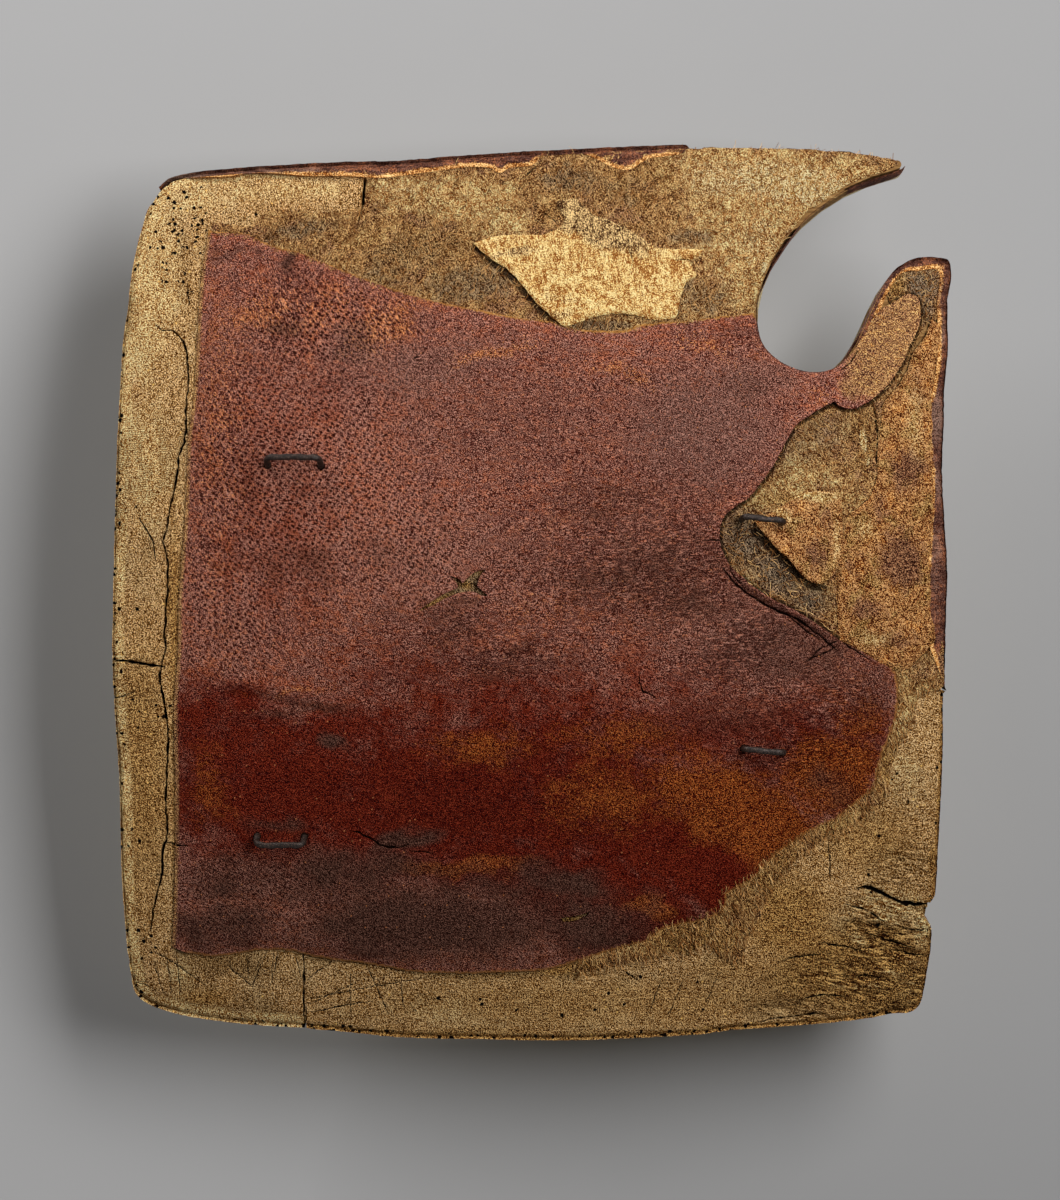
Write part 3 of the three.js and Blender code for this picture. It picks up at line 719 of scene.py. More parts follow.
def woodForm(piece, lines):
    def form(flat, gap):
        outer = gapTo(flat, edgeLine, 9 * mm)
        seed = piece["seed"]
        turn = math.radians(piece["grainTurn"])
        relief = wood["warp"] * ripple(flat, 42 * mm, seed, octaves=2)
        relief += wood["fibre"] * ripple(flat, 2.6 * mm, seed + 1, stretch=9, turn=turn)
        worn = patches(flat, piece["eroded"], seed=seed)
        splinter = ripple(flat, 3.4 * mm, seed + 2, stretch=5, turn=turn + 0.12 * piece["slant"])
        splinter += 0.5 * ripple(flat, 9 * mm, seed + 7, stretch=3, turn=turn - 0.3 * piece["slant"])
        relief += worn * mm * (1.7 * splinter - 1.0)
        bite = np.clip(0.5 + 0.9 * ripple(flat, 3 * mm, seed + 3), 0, 1) * mm
        crack, cut = crackForm(flat, lines, seed + 9)
        bitten = np.maximum(outer - 0.4 * bite, 0)
        depth = shield["coreDepth"] - relief + arris(bitten, wood["arris"]) + cut
        marks = patchMarks(flat, piece, wood["marks"], 4 * mm, seed + 5)
        marks["crack"] = crack
        marks["torn"] = np.clip(1.2 * worn, 0, 1)
        wander = 1.2 * mm * ripple(flat, 16 * mm, seed + 4)
        bevel = piece["bevel"] * fading(outer + wander, wood["bevelWidth"], wood["bevelWidth"] + 1.5 * mm)
        depth = depth + wood["bevelDepth"] * bevel
        marks["pale"] = np.maximum(marks["pale"], 0.7 * bevel)
        marks["worm"] = np.maximum(marks["worm"], 0.7 * fading(outer, 1 * mm, 4 * mm))
        marks["rusty"] = np.maximum(marks["rusty"], 0.9 * fading(outer, 0.8 * mm, 2.2 * mm))
        # painted shade: the eroded hollows between the splinters are darkened through the dusky mark; painted
        # highlight: their raised ridges are paled through the pale mark
        hollow = np.clip(worn * (0.5 - 1.6 * splinter), 0, 1)
        marks["dusky"] = np.maximum(marks["dusky"], 0.8 * hollow)
        marks["pale"] = np.maximum(marks["pale"], np.clip(worn * (1.8 * splinter - 0.2), 0, 1))
        return depth, marks
    return form


def makeWood(name, node, piece, runs, upright):
    loop = tornLoop(runs, 1.7, 0.25, 3, piece["seed"], 4.6)
    lines = crackLines(piece["cracks"], piece["seed"])
    part = sheet(name, [loop], woodForm(piece, lines), crackPlaces(lines), wood["pitch"], shield["coreFront"],
                 piece["seed"], hidden=liningLoop(3 * mm), rims=(0.5, 1.2, 2.0), rough=0.3)
    dress(part, bareWood(name.replace("_", " "), upright), "wood", node)


stile = {
    "seed": 11,
    "bevel": 1,
    "grainTurn": 90,
    "slant": 1,
    # width and depth in millimetres, and the line in pixels
    "cracks": [
        (1.1, 5, [(173, 330), (182, 340), (187, 352), (189, 380), (187, 410), (186, 440), (181, 455),
                  (178, 480), (172, 505), (168, 530), (165, 540), (168, 560), (169, 590), (168, 605),
                  (166, 630), (167, 650), (163, 665)]),
        (1.1, 5, [(163, 665), (161, 680), (165, 700), (168, 720), (169, 745), (167, 780), (166, 810),
                  (168, 835), (163, 850), (162, 872), (155, 900), (150, 930)]),
        (0.8, 3, [(187, 283), (189, 303)]),
        (0.7, 2, [(140, 518), (148, 530), (155, 543), (157, 560)]),
        (1.5, 8, [(110, 659), (125, 661), (145, 664), (164, 667)]),
        (0.8, 3, [(114, 697), (125, 696), (136, 692)]),
        (1.0, 3, [(166, 842), (178, 845), (192, 845)]),
        (0.6, 1.5, [(155, 325), (163, 330), (173, 330)]),
        (0.6, 2, [(155, 876), (164, 876)]),
        (0.5, 1, [(132, 985), (146, 988)]),
        (1.1, 3, [(303.5, 955), (303.5, 975), (303, 1000), (303, 1026)]),
        (0.5, 0.5, [(153, 964), (157, 980), (162, 996)]), (0.5, 0.5, [(166, 962), (170, 996)]),
        (0.5, 0.5, [(176, 958), (179, 1002)]), (0.5, 0.5, [(154, 954), (178, 968), (201, 985)]),
        (0.6, 0.6, [(273, 951), (271, 984)]), (0.6, 0.6, [(266, 953), (252, 986)]),
        (0.5, 0.5, [(262, 954), (255, 972)]), (0.5, 0.5, [(277, 952), (274, 975)]),
        (0.5, 0.5, [(228, 968), (252, 988)]), (0.5, 0.5, [(296, 958), (301, 980)]),
        (0.5, 0.4, [(134, 985), (146, 985)]), (0.5, 0.4, [(246, 958), (248, 980)]),
    ],
    "eroded": [(122, 500, 8, 60, 0.35), (118, 740, 9, 90, 0.4), (124, 300, 9, 60, 0.35)],
    "worm": [
        (185, 232, 30, 45, 1.0), (165, 250, 22, 40, 0.7), (190, 280, 12, 40, 0.8), (155, 715, 30, 34, 0.6),
        (122, 700, 8, 120, 0.8), (230, 205, 70, 14, 0.25), (130, 850, 10, 90, 0.5),
        (140, 940, 20, 50, 0.35), (140, 620, 14, 25, 0.35),
    ],
    "tooled": [
        (150, 460, 36, 60, 1.0), (140, 585, 24, 50, 0.4), (121, 490, 8, 60, 1.0), (140, 345, 18, 40, 0.4),
    ],
    "scratched": [
        (150, 590, 34, 70, 0.6), (240, 990, 80, 40, 1.0), (165, 980, 40, 40, 0.8), (140, 880, 24, 60, 0.35),
    ],
    "dusky": [
        (140, 700, 34, 60, 0.4), (140, 800, 34, 70, 0.3), (225, 965, 60, 16, 0.6, -6),
        (190, 990, 34, 26, 0.5), (250, 1010, 50, 16, 0.45), (120, 420, 5, 240, 0.4),
        (153, 545, 16, 30, 0.3), (185, 270, 14, 60, 0.4),
    ],
    "rusty": [
        (176, 620, 8, 110, 0.7), (176, 500, 6, 60, 0.4), (160, 182, 16, 12, 0.9), (176, 800, 7, 150, 0.5),
        (205, 1000, 30, 14, 0.6), (148, 232, 10, 20, 0.3), (142, 780, 40, 170, 0.55),
    ],
    "pale": [
        (152, 290, 34, 110, 0.75), (280, 190, 90, 16, 0.6), (200, 200, 40, 20, 0.5),
        (148, 460, 30, 80, 0.7), (180, 985, 30, 30, 0.5),
    ],
}
lowerBoard = {
    "seed": 23,
    "bevel": 0,
    "grainTurn": -4,
    "slant": -1,
    "cracks": [
        (2.6, 4.5, [(857, 890), (866, 888), (876, 891), (888, 897), (900, 903), (914, 906), (930, 906)]),
        (0.8, 2, [(922, 695), (932, 691), (946, 690)]),
        (0.7, 1.5, [(893, 737), (903, 731), (912, 730)]),
        (0.9, 2.5, [(621, 971), (628, 975), (636, 980)]),
        (1.2, 2.5, [(760, 1024), (780, 1020), (800, 1018), (826, 1016)]),
        (1.0, 2.5, [(800, 1003), (812, 999), (828, 997), (846, 999)]),
        (1.3, 3, [(858, 979), (868, 978), (880, 981)]),
        (0.6, 1.2, [(828, 845), (829, 868), (830, 880)]),
        (0.8, 2, [(905, 930), (918, 932), (931, 930)]),
        (0.8, 2, [(898, 953), (915, 957), (930, 958)]),
        (0.9, 2, [(822, 944), (846, 948), (862, 953)]),
        (0.6, 1, [(307, 1014), (330, 1010), (372, 1002)]),
        (0.6, 1, [(307, 981), (318, 972), (331, 963)]),
        (0.5, 0.5, [(308, 1006), (332, 995), (357, 983)]), (0.5, 0.5, [(366, 966), (378, 992), (388, 1016)]),
        (0.5, 0.5, [(350, 975), (350, 1016)]), (0.5, 0.5, [(308, 1001), (360, 990), (420, 980)]),
        (0.5, 0.5, [(400, 978), (404, 1012)]), (0.5, 0.4, [(648, 1015), (664, 975)]),
        (0.5, 0.4, [(668, 1018), (684, 978)]), (0.5, 0.4, [(700, 1020), (718, 974)]),
        (1.0, 2, [(782, 962), (800, 958), (822, 956)]), (1.2, 2, [(868, 935), (890, 942), (915, 950)]),
        (1.0, 2, [(846, 905), (868, 912), (884, 922)]),
    ],
    "eroded": [
        (890, 935, 50, 46, 1.0), (860, 985, 70, 34, 0.8, -8), (905, 868, 36, 26, 0.6, 10),
        (800, 1012, 60, 12, 0.7, -4), (915, 985, 18, 30, 0.8), (900, 800, 40, 60, 0.18),
    ],
    "worm": [
        (360, 1010, 60, 26, 0.15), (700, 1000, 90, 30, 0.12), (470, 1005, 60, 20, 0.3),
        (590, 1000, 40, 26, 0.25), (905, 740, 20, 60, 0.3), (880, 880, 30, 60, 0.3),
    ],
    "tooled": [(860, 860, 60, 50, 0.35)],
    "scratched": [
        (370, 1000, 100, 40, 0.9), (520, 1010, 100, 30, 0.45), (680, 1000, 100, 34, 0.35),
        (900, 780, 40, 60, 0.3),
    ],
    "dusky": [
        (895, 990, 60, 34, 1.3), (880, 960, 70, 34, 1.0), (800, 985, 80, 34, 0.6), (760, 980, 160, 40, 0.4),
        (840, 960, 80, 40, 0.6), (800, 915, 40, 40, 0.55, -30), (520, 975, 140, 6, 0.6),
        (320, 960, 30, 6, 0.5), (930, 700, 14, 40, 0.2),
    ],
    "rusty": [
        (560, 968, 40, 9, 0.9), (932, 870, 5, 30, 0.9), (925, 985, 8, 20, 0.7), (860, 970, 110, 60, 0.75),
        (790, 920, 60, 50, 0.7, -20), (600, 1005, 330, 34, 0.42), (870, 840, 60, 50, 0.5),
        (500, 1034, 260, 6, 0.5), (740, 970, 60, 20, 0.4),
    ],
    "pale": [
        (885, 905, 46, 22, 0.7, 10), (900, 770, 34, 50, 0.35), (925, 930, 10, 26, 0.8),
        (440, 1010, 110, 26, 0.25),
    ],
}
makeWood("wood_stile", "core_stile", stile, [
    outline["bottomLeft"], outline["left"],
    [(152, 201), (160, 190), (172, 181), (200, 175), (250, 171), (300, 168), (364, 166)],
    [(364.5, 167), (304.6, 1027)],
], True)
makeWood("wood_lower_board", "core_board_lower", lowerBoard, [
    [(943, 690.5), (941, 693)] + outline["lowerRight"][1:], outline["chip"], outline["corner"],
    outline["bottom"], [(306, 1027), (330, 690.5)],
], False)


# Hair and plant fibre glued over the back of the core

def hairFibre():
    material, shader = start("hair fibre")
    strand = grain((0.6, 2.4, 2.6), 24, detail=2, roughness=0.6, distortion=0.7)
    other = grain((0.6, 2.4, 2.2), -48, detail=2, roughness=0.6, distortion=0.7)
    fluff = grain((0.62, 0.62, 0.62), detail=1)
    lumps = grain((7, 7, 7), detail=4, roughness=0.6)
    share = layered((strand, 1.1), (other, 0.8), (fluff, 2.0), (lumps, 0.5))
    dark = ramp(share, (88, 42, 18), (122, 70, 36), (166, 110, 62), (200, 146, 88), (226, 178, 116))
    light = ramp(share, (146, 84, 32), (186, 126, 64), (228, 168, 98), (246, 196, 122), (255, 220, 154))
    plum = ramp(share, (44, 18, 12), (78, 42, 28), (120, 74, 52), (160, 108, 76), (196, 144, 106))
    drift = grain((15, 15, 11), 20, detail=3)
    colour = blend(span(drift, 0.5, 0.62, (0, 0.75)), dark, plum)
    colour = blend(span(drift, 0.42, 0.34, (0, 0.5)), colour, light)
    colour = blend(uneven("sandy", lumps, 1.5, 0.2, 0.62), colour, light)
    dusky = ramp(share, (44, 22, 8), (74, 48, 26), (108, 78, 50), (144, 112, 78), (178, 146, 108))
    colour = blend(uneven("dusky", lumps, 1.2, 0.2, 0.75), colour, dusky)
    grey = ramp(share, (20, 11, 8), (50, 36, 27), (86, 67, 54), (122, 99, 78), (168, 142, 114))
    colour = blend(mark("grey"), colour, grey)
    rust = ramp(share, (50, 22, 6), (98, 58, 22), (142, 92, 42), (180, 128, 66), (220, 170, 98))
    colour = blend(mark("rusty"), colour, rust)
    tangle = most(thinLines(strand, 0.02), thinLines(other, 0.016))
    colour = blend(times(tangle, 0.4), colour, tone(58, 32, 14))
    sliver = ramp(share, (150, 100, 40), (196, 146, 76), (226, 182, 108), (240, 206, 138), (250, 226, 170))
    colour = blend(uneven("sliver", fluff, 0.5, 0.35, 0.6), colour, sliver)
    # painted shade: the fibres beside the torn edges, the flap and the flake darkened almost to black
    shade = uneven("shade", fluff, 1.2, 0.25, 0.8)
    colour = blend(times(shade, 0.85), colour, tone(24, 14, 8))
    colour = blend(cracked(fluff), colour, tone(18, 10, 5))
    finish(shader, colour, 0.9, raised(share, 1.1))
    return material


fibres = {
    "seed": 31,
    "matted": 0.35,  # its relief: heights, and the widths of edges, in millimetres
    "worn": 1.2,
    "thinEdge": (0.9, 3),
    "arris": 2.4,
    "fray": {"step": 1.6, "fray": 1.2, "wave": 4, "seed": 7, "depth": 2.6},
    "sheet": {"pitch": 2.0 * mm, "wallTo": 3.8 * mm, "seed": 31},
    "top": [
        [(211, 222), (230, 224), (252, 226), (262, 215), (275, 210), (300, 211), (330, 213), (356, 212)],
        [(365, 205), (367, 186)],
        [(368, 172), (420, 168), (460, 163), (500, 159), (560, 155), (640, 151), (700, 147.5), (750, 146.5),
         (800, 148), (850, 151), (895, 158)],
        [(900, 163), (880, 172), (860, 179), (843, 187), (826, 198.5), (810, 210), (797, 223), (786, 238),
         (777, 252), (769, 265), (763, 278), (756, 296), (752, 318)],
        [(740, 325), (700, 332), (640, 342), (590, 342), (540, 334), (480, 322), (420, 309), (370, 293),
         (320, 272), (280, 259), (240, 244), (212, 238)],
    ],
    "side": [
        [(926, 318), (921, 332), (913, 347), (905, 366), (895, 386), (884, 402)],
        [(884, 420), (884, 480), (874, 505), (856, 522), (849, 545), (847, 600), (843, 640)],
        [(860, 660), (880, 672), (900, 676)],
        [(890, 680), (868, 668), (840, 652), (815, 636), (790, 620), (760, 604), (735, 586), (716, 566),
         (706, 545), (708, 522), (722, 508), (740, 494), (755, 476), (768, 455), (780, 434), (796, 414),
         (815, 402), (832, 394)],
        [(850, 400), (868, 390), (884, 374), (896, 356), (905, 338), (908, 318)],
    ],
    "tip": [
        [(886, 296), (893, 280), (903, 270), (920, 268), (944, 266)],
        [(943, 276), (942, 300), (938, 318)],
        [(928, 322), (918, 318), (905, 316), (893, 312)],
    ],
    "edge": [
        [(905, 668), (915, 660), (928, 648), (938, 640)],
        [(941, 650), (941, 686)],
        [(925, 692), (914, 700), (911, 716), (904, 733), (896, 745), (891, 760), (887, 782)],
        [(884, 797), (870, 812), (858, 818), (846, 826), (830, 834), (812, 846), (795, 858), (780, 874),
         (768, 893), (760, 915), (750, 932), (744, 948)],
        [(742, 958), (730, 959), (720, 957), (712, 945), (700, 944), (688, 953), (672, 950), (655, 957),
         (640, 961), (622, 963), (600, 967)],
        [(572, 973), (575, 955), (620, 938), (660, 920), (705, 905), (714, 886), (745, 870), (772, 845),
         (830, 812), (860, 788), (866, 765), (880, 730), (884, 700), (884, 672)],
    ],
    "hole": [[(405, 615), (430, 590), (445, 566), (490, 562), (496, 600), (470, 606)]],
    "lowerHole": [[(550, 925), (556, 908), (596, 903), (596, 920)]],
    "cracks": [
        (1.2, 1.5, [(365, 187), (364, 197), (361, 212), (358, 226)]),
        (0.9, 1.2, [(545, 214), (552, 219), (557, 226)]),
        (0.8, 1.0, [(676, 222), (679, 213)]),
        (1.0, 1.5, [(524, 178), (530, 172), (536, 166)]),
        (0.9, 1.2, [(461, 209), (466, 206)]),
        (1.3, 2.0, [(872, 404), (874, 420), (876, 436), (875, 452), (876, 470)]),
    ],
    "sandy": [
        (800, 190, 120, 46, 1.0, -12), (400, 195, 44, 22, 0.75), (740, 230, 60, 70, 0.8),
        (700, 170, 60, 26, 0.7), (470, 200, 70, 26, 0.75), (420, 190, 50, 16, 0.7), (500, 225, 40, 14, 0.8),
        (745, 290, 26, 30, 0.7), (385, 235, 20, 20, 0.4), (910, 720, 30, 60, 0.6), (800, 480, 40, 26, 0.6),
        (760, 500, 30, 14, 0.6), (840, 500, 30, 10, 0.6), (575, 212, 22, 12, 0.3),
        (850, 830, 60, 20, 0.7, -35), (640, 950, 60, 14, 0.35, -12),
    ],
    "dusky": [
        (300, 232, 60, 12, 0.7, 14), (400, 262, 90, 34, 0.6, 22), (470, 285, 60, 26, 0.75, 12),
        (570, 178, 40, 20, 0.75), (620, 190, 40, 26, 0.45), (700, 300, 40, 26, 0.55),
        (690, 238, 26, 14, 0.6), (512, 208, 34, 10, 0.3, -8), (600, 326, 40, 7, 1.0),
        (820, 440, 40, 26, 0.35), (450, 250, 26, 30, 0.35), (470, 588, 40, 20, 0.8),
        (575, 914, 24, 10, 0.5),
    ],
    "grey": [
        (745, 540, 30, 34, 1.0), (775, 575, 40, 26, 1.0, -38), (808, 600, 22, 18, 1.0),
        (920, 286, 28, 22, 1.0), (926, 308, 10, 18, 0.9), (790, 450, 34, 22, 0.4), (830, 430, 30, 14, 0.4),
    ],
    "rusty": [
        (895, 285, 12, 18, 0.9), (862, 440, 14, 30, 0.5), (800, 500, 60, 8, 0.7), (730, 945, 20, 16, 0.7),
        (745, 905, 20, 26, 0.5), (914, 346, 12, 30, 0.4, 25), (468, 585, 8, 5, 1.0),
        (440, 602, 16, 4, 0.9, 28), (573, 918, 12, 4, 1.0), (912, 690, 20, 20, 0.4), (590, 965, 30, 8, 0.7),
        (690, 935, 80, 30, 0.8), (770, 870, 60, 40, 0.7), (840, 825, 60, 24, 0.7), (885, 770, 20, 50, 0.7),
        (560, 210, 40, 16, 0.4), (420, 250, 80, 30, 0.35), (640, 180, 60, 20, 0.3),
    ],
    "underFlake": [(476, 248), (490, 262), (512, 279), (533, 304), (552, 322)],
    "underFlap": [(752, 531), (761, 541), (772, 553), (784, 563), (795, 576), (808, 586), (822, 588)],
    "sliver": [
        (790, 182, 96, 30, 0.62, -8), (720, 178, 60, 30, 0.5), (760, 240, 30, 40, 0.42),
        (400, 190, 40, 14, 0.42), (752, 585, 24, 3, 0.7, -38), (800, 618, 26, 3, 0.8, -28),
        (862, 441, 4, 13, 1.0, 6), (763, 268, 6, 6, 1.0, -20), (748, 262, 4, 5, 0.8), (866, 462, 3, 6, 0.8),
    ],
    "low": [
        (745, 540, 32, 30, 1.0), (770, 572, 44, 24, 1.0, -38), (806, 600, 22, 16, 0.9),
        (610, 326, 36, 7, 0.9), (470, 588, 60, 40, 0.6), (574, 914, 60, 30, 0.6),
    ],
}


def fibreForm(flat, gap):
    seed = fibres["seed"]
    outer = gapTo(flat, edgeLine, 9 * mm)
    matted = fibres["matted"] * ripple(flat, 14 * mm, seed)
    matted += fibres["matted"] * ripple(flat, 3.2 * mm, seed + 1)
    hidden = inside(flat, liningLoop(3 * mm)) & (gapTo(flat, liningTopLine, 3 * mm) > 1.5 * mm)
    low = patches(flat, fibres["low"], 1 * mm, seed)
    crack, cut = crackForm(flat, fibreCracks, seed + 2)
    depth = shield["fibreDepth"] - matted * mm + fibres["worn"] * mm * low + cut
    depth = depth + falloff(gap, *fibres["thinEdge"]) + arris(outer, fibres["arris"] * mm)
    depth = np.where(hidden & (low < 0.3), shield["fibreDepth"] + fibres["worn"] * mm, depth)
    marks = patchMarks(flat, fibres, ("sandy", "dusky", "grey", "rusty"), 3 * mm, seed + 4)
    marks["crack"] = crack
    marks["sliver"] = patches(flat, fibres["sliver"], 0.5 * mm, seed + 5)
    # painted shade on the fibres just beside the lining's torn edges and under the flap's and the flake's
    # lifted edges
    under = [border[key] for key in ("tongue", "crack", "loss", "hollow")]
    torn = [gapToPixels(flat, line, 4 * mm) for line in under + [fibres["underFlap"], fibres["underFlake"]]]
    marks["shade"] = fading(np.min(torn, axis=0), 0.8 * mm, 3.2 * mm)
    return depth, marks


fibreCracks = crackLines(fibres["cracks"], 33)
liningTopLine = curve(spots(border["top"]), 3 * mm)
hairMaterial = hairFibre()
fibreLoops = [
    tornLoop(fibres[key], **fibres["fray"]) for key in ("top", "side", "tip", "edge", "hole", "lowerHole")
]
fibrePiece = sheet("fibre_layer", fibreLoops, fibreForm, crackPlaces(fibreCracks), **fibres["sheet"])
dress(fibrePiece, hairMaterial, "fibre", "back_fibre_layer")


# The red lining

def redLeather():
    material, shader = start("red leather")
    pitted, wrinkled, slanted = (mark(key) for key in ("pitted", "wrinkled", "slanted"))
    pits = span(cells((3.9, 1, 2.7), -32, randomness=0.5), 0.12, 0.38)
    folds = grain((3.4, 2, 0.8), 4, detail=3, roughness=0.6, distortion=0.6)
    slant = grain((0.95, 2, 3.8), 28, detail=3, roughness=0.6, distortion=0.5)
    fine = grain((0.62, 0.62, 0.62), detail=1)
    hue = grain((1.0, 1.0, 1.0), detail=2, roughness=0.6)
    coarse = grain((2.2, 2.2, 2.0), -30, detail=2, roughness=0.6)
    cloud = grain((17, 17, 17), detail=5, roughness=0.62)
    drawn = most(wrinkled, slanted)
    share = layered(
        (fine, added(drawn, -0.7, 2.2)), (coarse, 0.15), (cloud, 0.2),
        (folds, times(wrinkled, 1.2)), (slant, times(slanted, 1.4)),
        (sums("SUBTRACT", pits, 0.22), times(pitted, 0.34)),
    )
    brown = ramp(share, (60, 19, 12), (87, 42, 32), (120, 65, 53), (148, 90, 76), (180, 124, 106))
    red = ramp(share, (80, 26, 12), (106, 44, 26), (136, 66, 45), (168, 88, 61), (200, 120, 86))
    painted_sheen = ramp(share, (72, 42, 34), (90, 57, 46), (111, 74, 64), (130, 92, 80), (156, 112, 100))
    deep = ramp(share, (48, 0, 0), (64, 3, 0), (81, 11, 2), (100, 24, 9), (124, 44, 26))
    russet = ramp(share, (52, 5, 0), (68, 14, 2), (92, 27, 6), (128, 50, 18), (168, 90, 40))
    dark = ramp(share, (36, 13, 8), (49, 23, 16), (62, 34, 26), (80, 48, 38), (104, 70, 58))
    hide = ramp(share, (95, 60, 42), (122, 77, 48), (150, 106, 65), (180, 130, 81), (204, 156, 102))
    veins = grain((5, 3, 2.4), -18, detail=3, roughness=0.6, distortion=0.8)
    warmth = layered((hue, 0.8), (veins, 1.1), (cloud, 1.0), (slant, times(slanted, 1.2)),
                     (folds, times(wrinkled, 0.7)))
    streaks = layered((hue, 1.6), (slant, 0.8), (folds, 0.6), (cloud, 0.7))
    colour = blend(span(warmth, 0.36, 0.8), brown, red)
    # painted sheen: greyed patches over the upper half and the right of the lining
    painted_sheen_share = times(uneven("painted_sheen", cloud, 1.6, 0.1, 1.0), span(hue, 0.3, 0.6))
    colour = blend(painted_sheen_share, colour, painted_sheen)
    bright = span(added(mark("orange"), 0.55, streaks), 0.78, 1.2, (0, 0.85))
    orange = ramp(share, (70, 26, 14), (114, 50, 25), (150, 74, 38), (184, 100, 54), (222, 146, 90))
    colour = blend(bright, colour, orange)
    colour = blend(uneven("deep", layered((cloud, 1.3), (veins, 0.7)), 1.0, 0.0, 0.95), colour, deep)
    colour = blend(uneven("russet", layered((cloud, 0.8), (veins, 0.9)), 1.0, 0.1, 0.7), colour, russet)
    # dark: dark patches and scars, with painted shade in the crease under the fold
    colour = blend(uneven("dark", cloud, 0.9, 0.15, 0.95), colour, dark)
    # painted shade: the creases and pits are darkened, and the same mask sinks them in the bump
    creases = most(times(thinLines(folds, 0.045), wrinkled),
                   times(thinLines(slant, 0.035), slanted))
    pitted = times(pitted, span(layered((cloud, 1.0), (veins, 0.6)), 0.36, 0.58, (0.15, 1)))
    pores = times(sums("SUBTRACT", 1.0, pits), pitted)
    dimples = most(times(creases, 0.6), times(pores, 0.48))
    colour = blend(dimples, colour, tone(38, 15, 10))
    plum = ramp(share, (56, 22, 16), (80, 42, 32), (112, 66, 48), (150, 98, 68), (190, 140, 98))
    hide = blend(span(veins, 0.5, 0.6, (0, 0.75)), hide, plum)
    amber = ramp(share, (110, 46, 12), (154, 84, 32), (194, 120, 54), (222, 156, 84), (244, 194, 124))
    hide = blend(span(veins, 0.44, 0.36, (0, 0.8)), hide, amber)
    colour = blend(uneven("bare", hue, 0.8), colour, hide)
    ragged = added(hue, -0.0028, mark("edge"))
    rim = times(span(ragged, 0.0003, -0.0006), mark("rimmed"))
    colour = blend(rim, colour, tone(184, 128, 66))
    colour = blend(cracked(hue), colour, tone(22, 7, 3))
    fleck = span(cells((6.5, 6.5, 6.5)), 0.085, 0.06)
    fleck = times(fleck, sums("LESS_THAN", cells((6.5, 6.5, 6.5), output="Color"), 0.22))
    colour = blend(times(fleck, 0.75), colour, tone(190, 120, 76))
    gloss = span(fine, 0.3, 0.75, (0.5, 0.64))
    height = added(dimples, -0.6, share)
    finish(shader, colour, gloss, raised(height, 0.7))
    return material


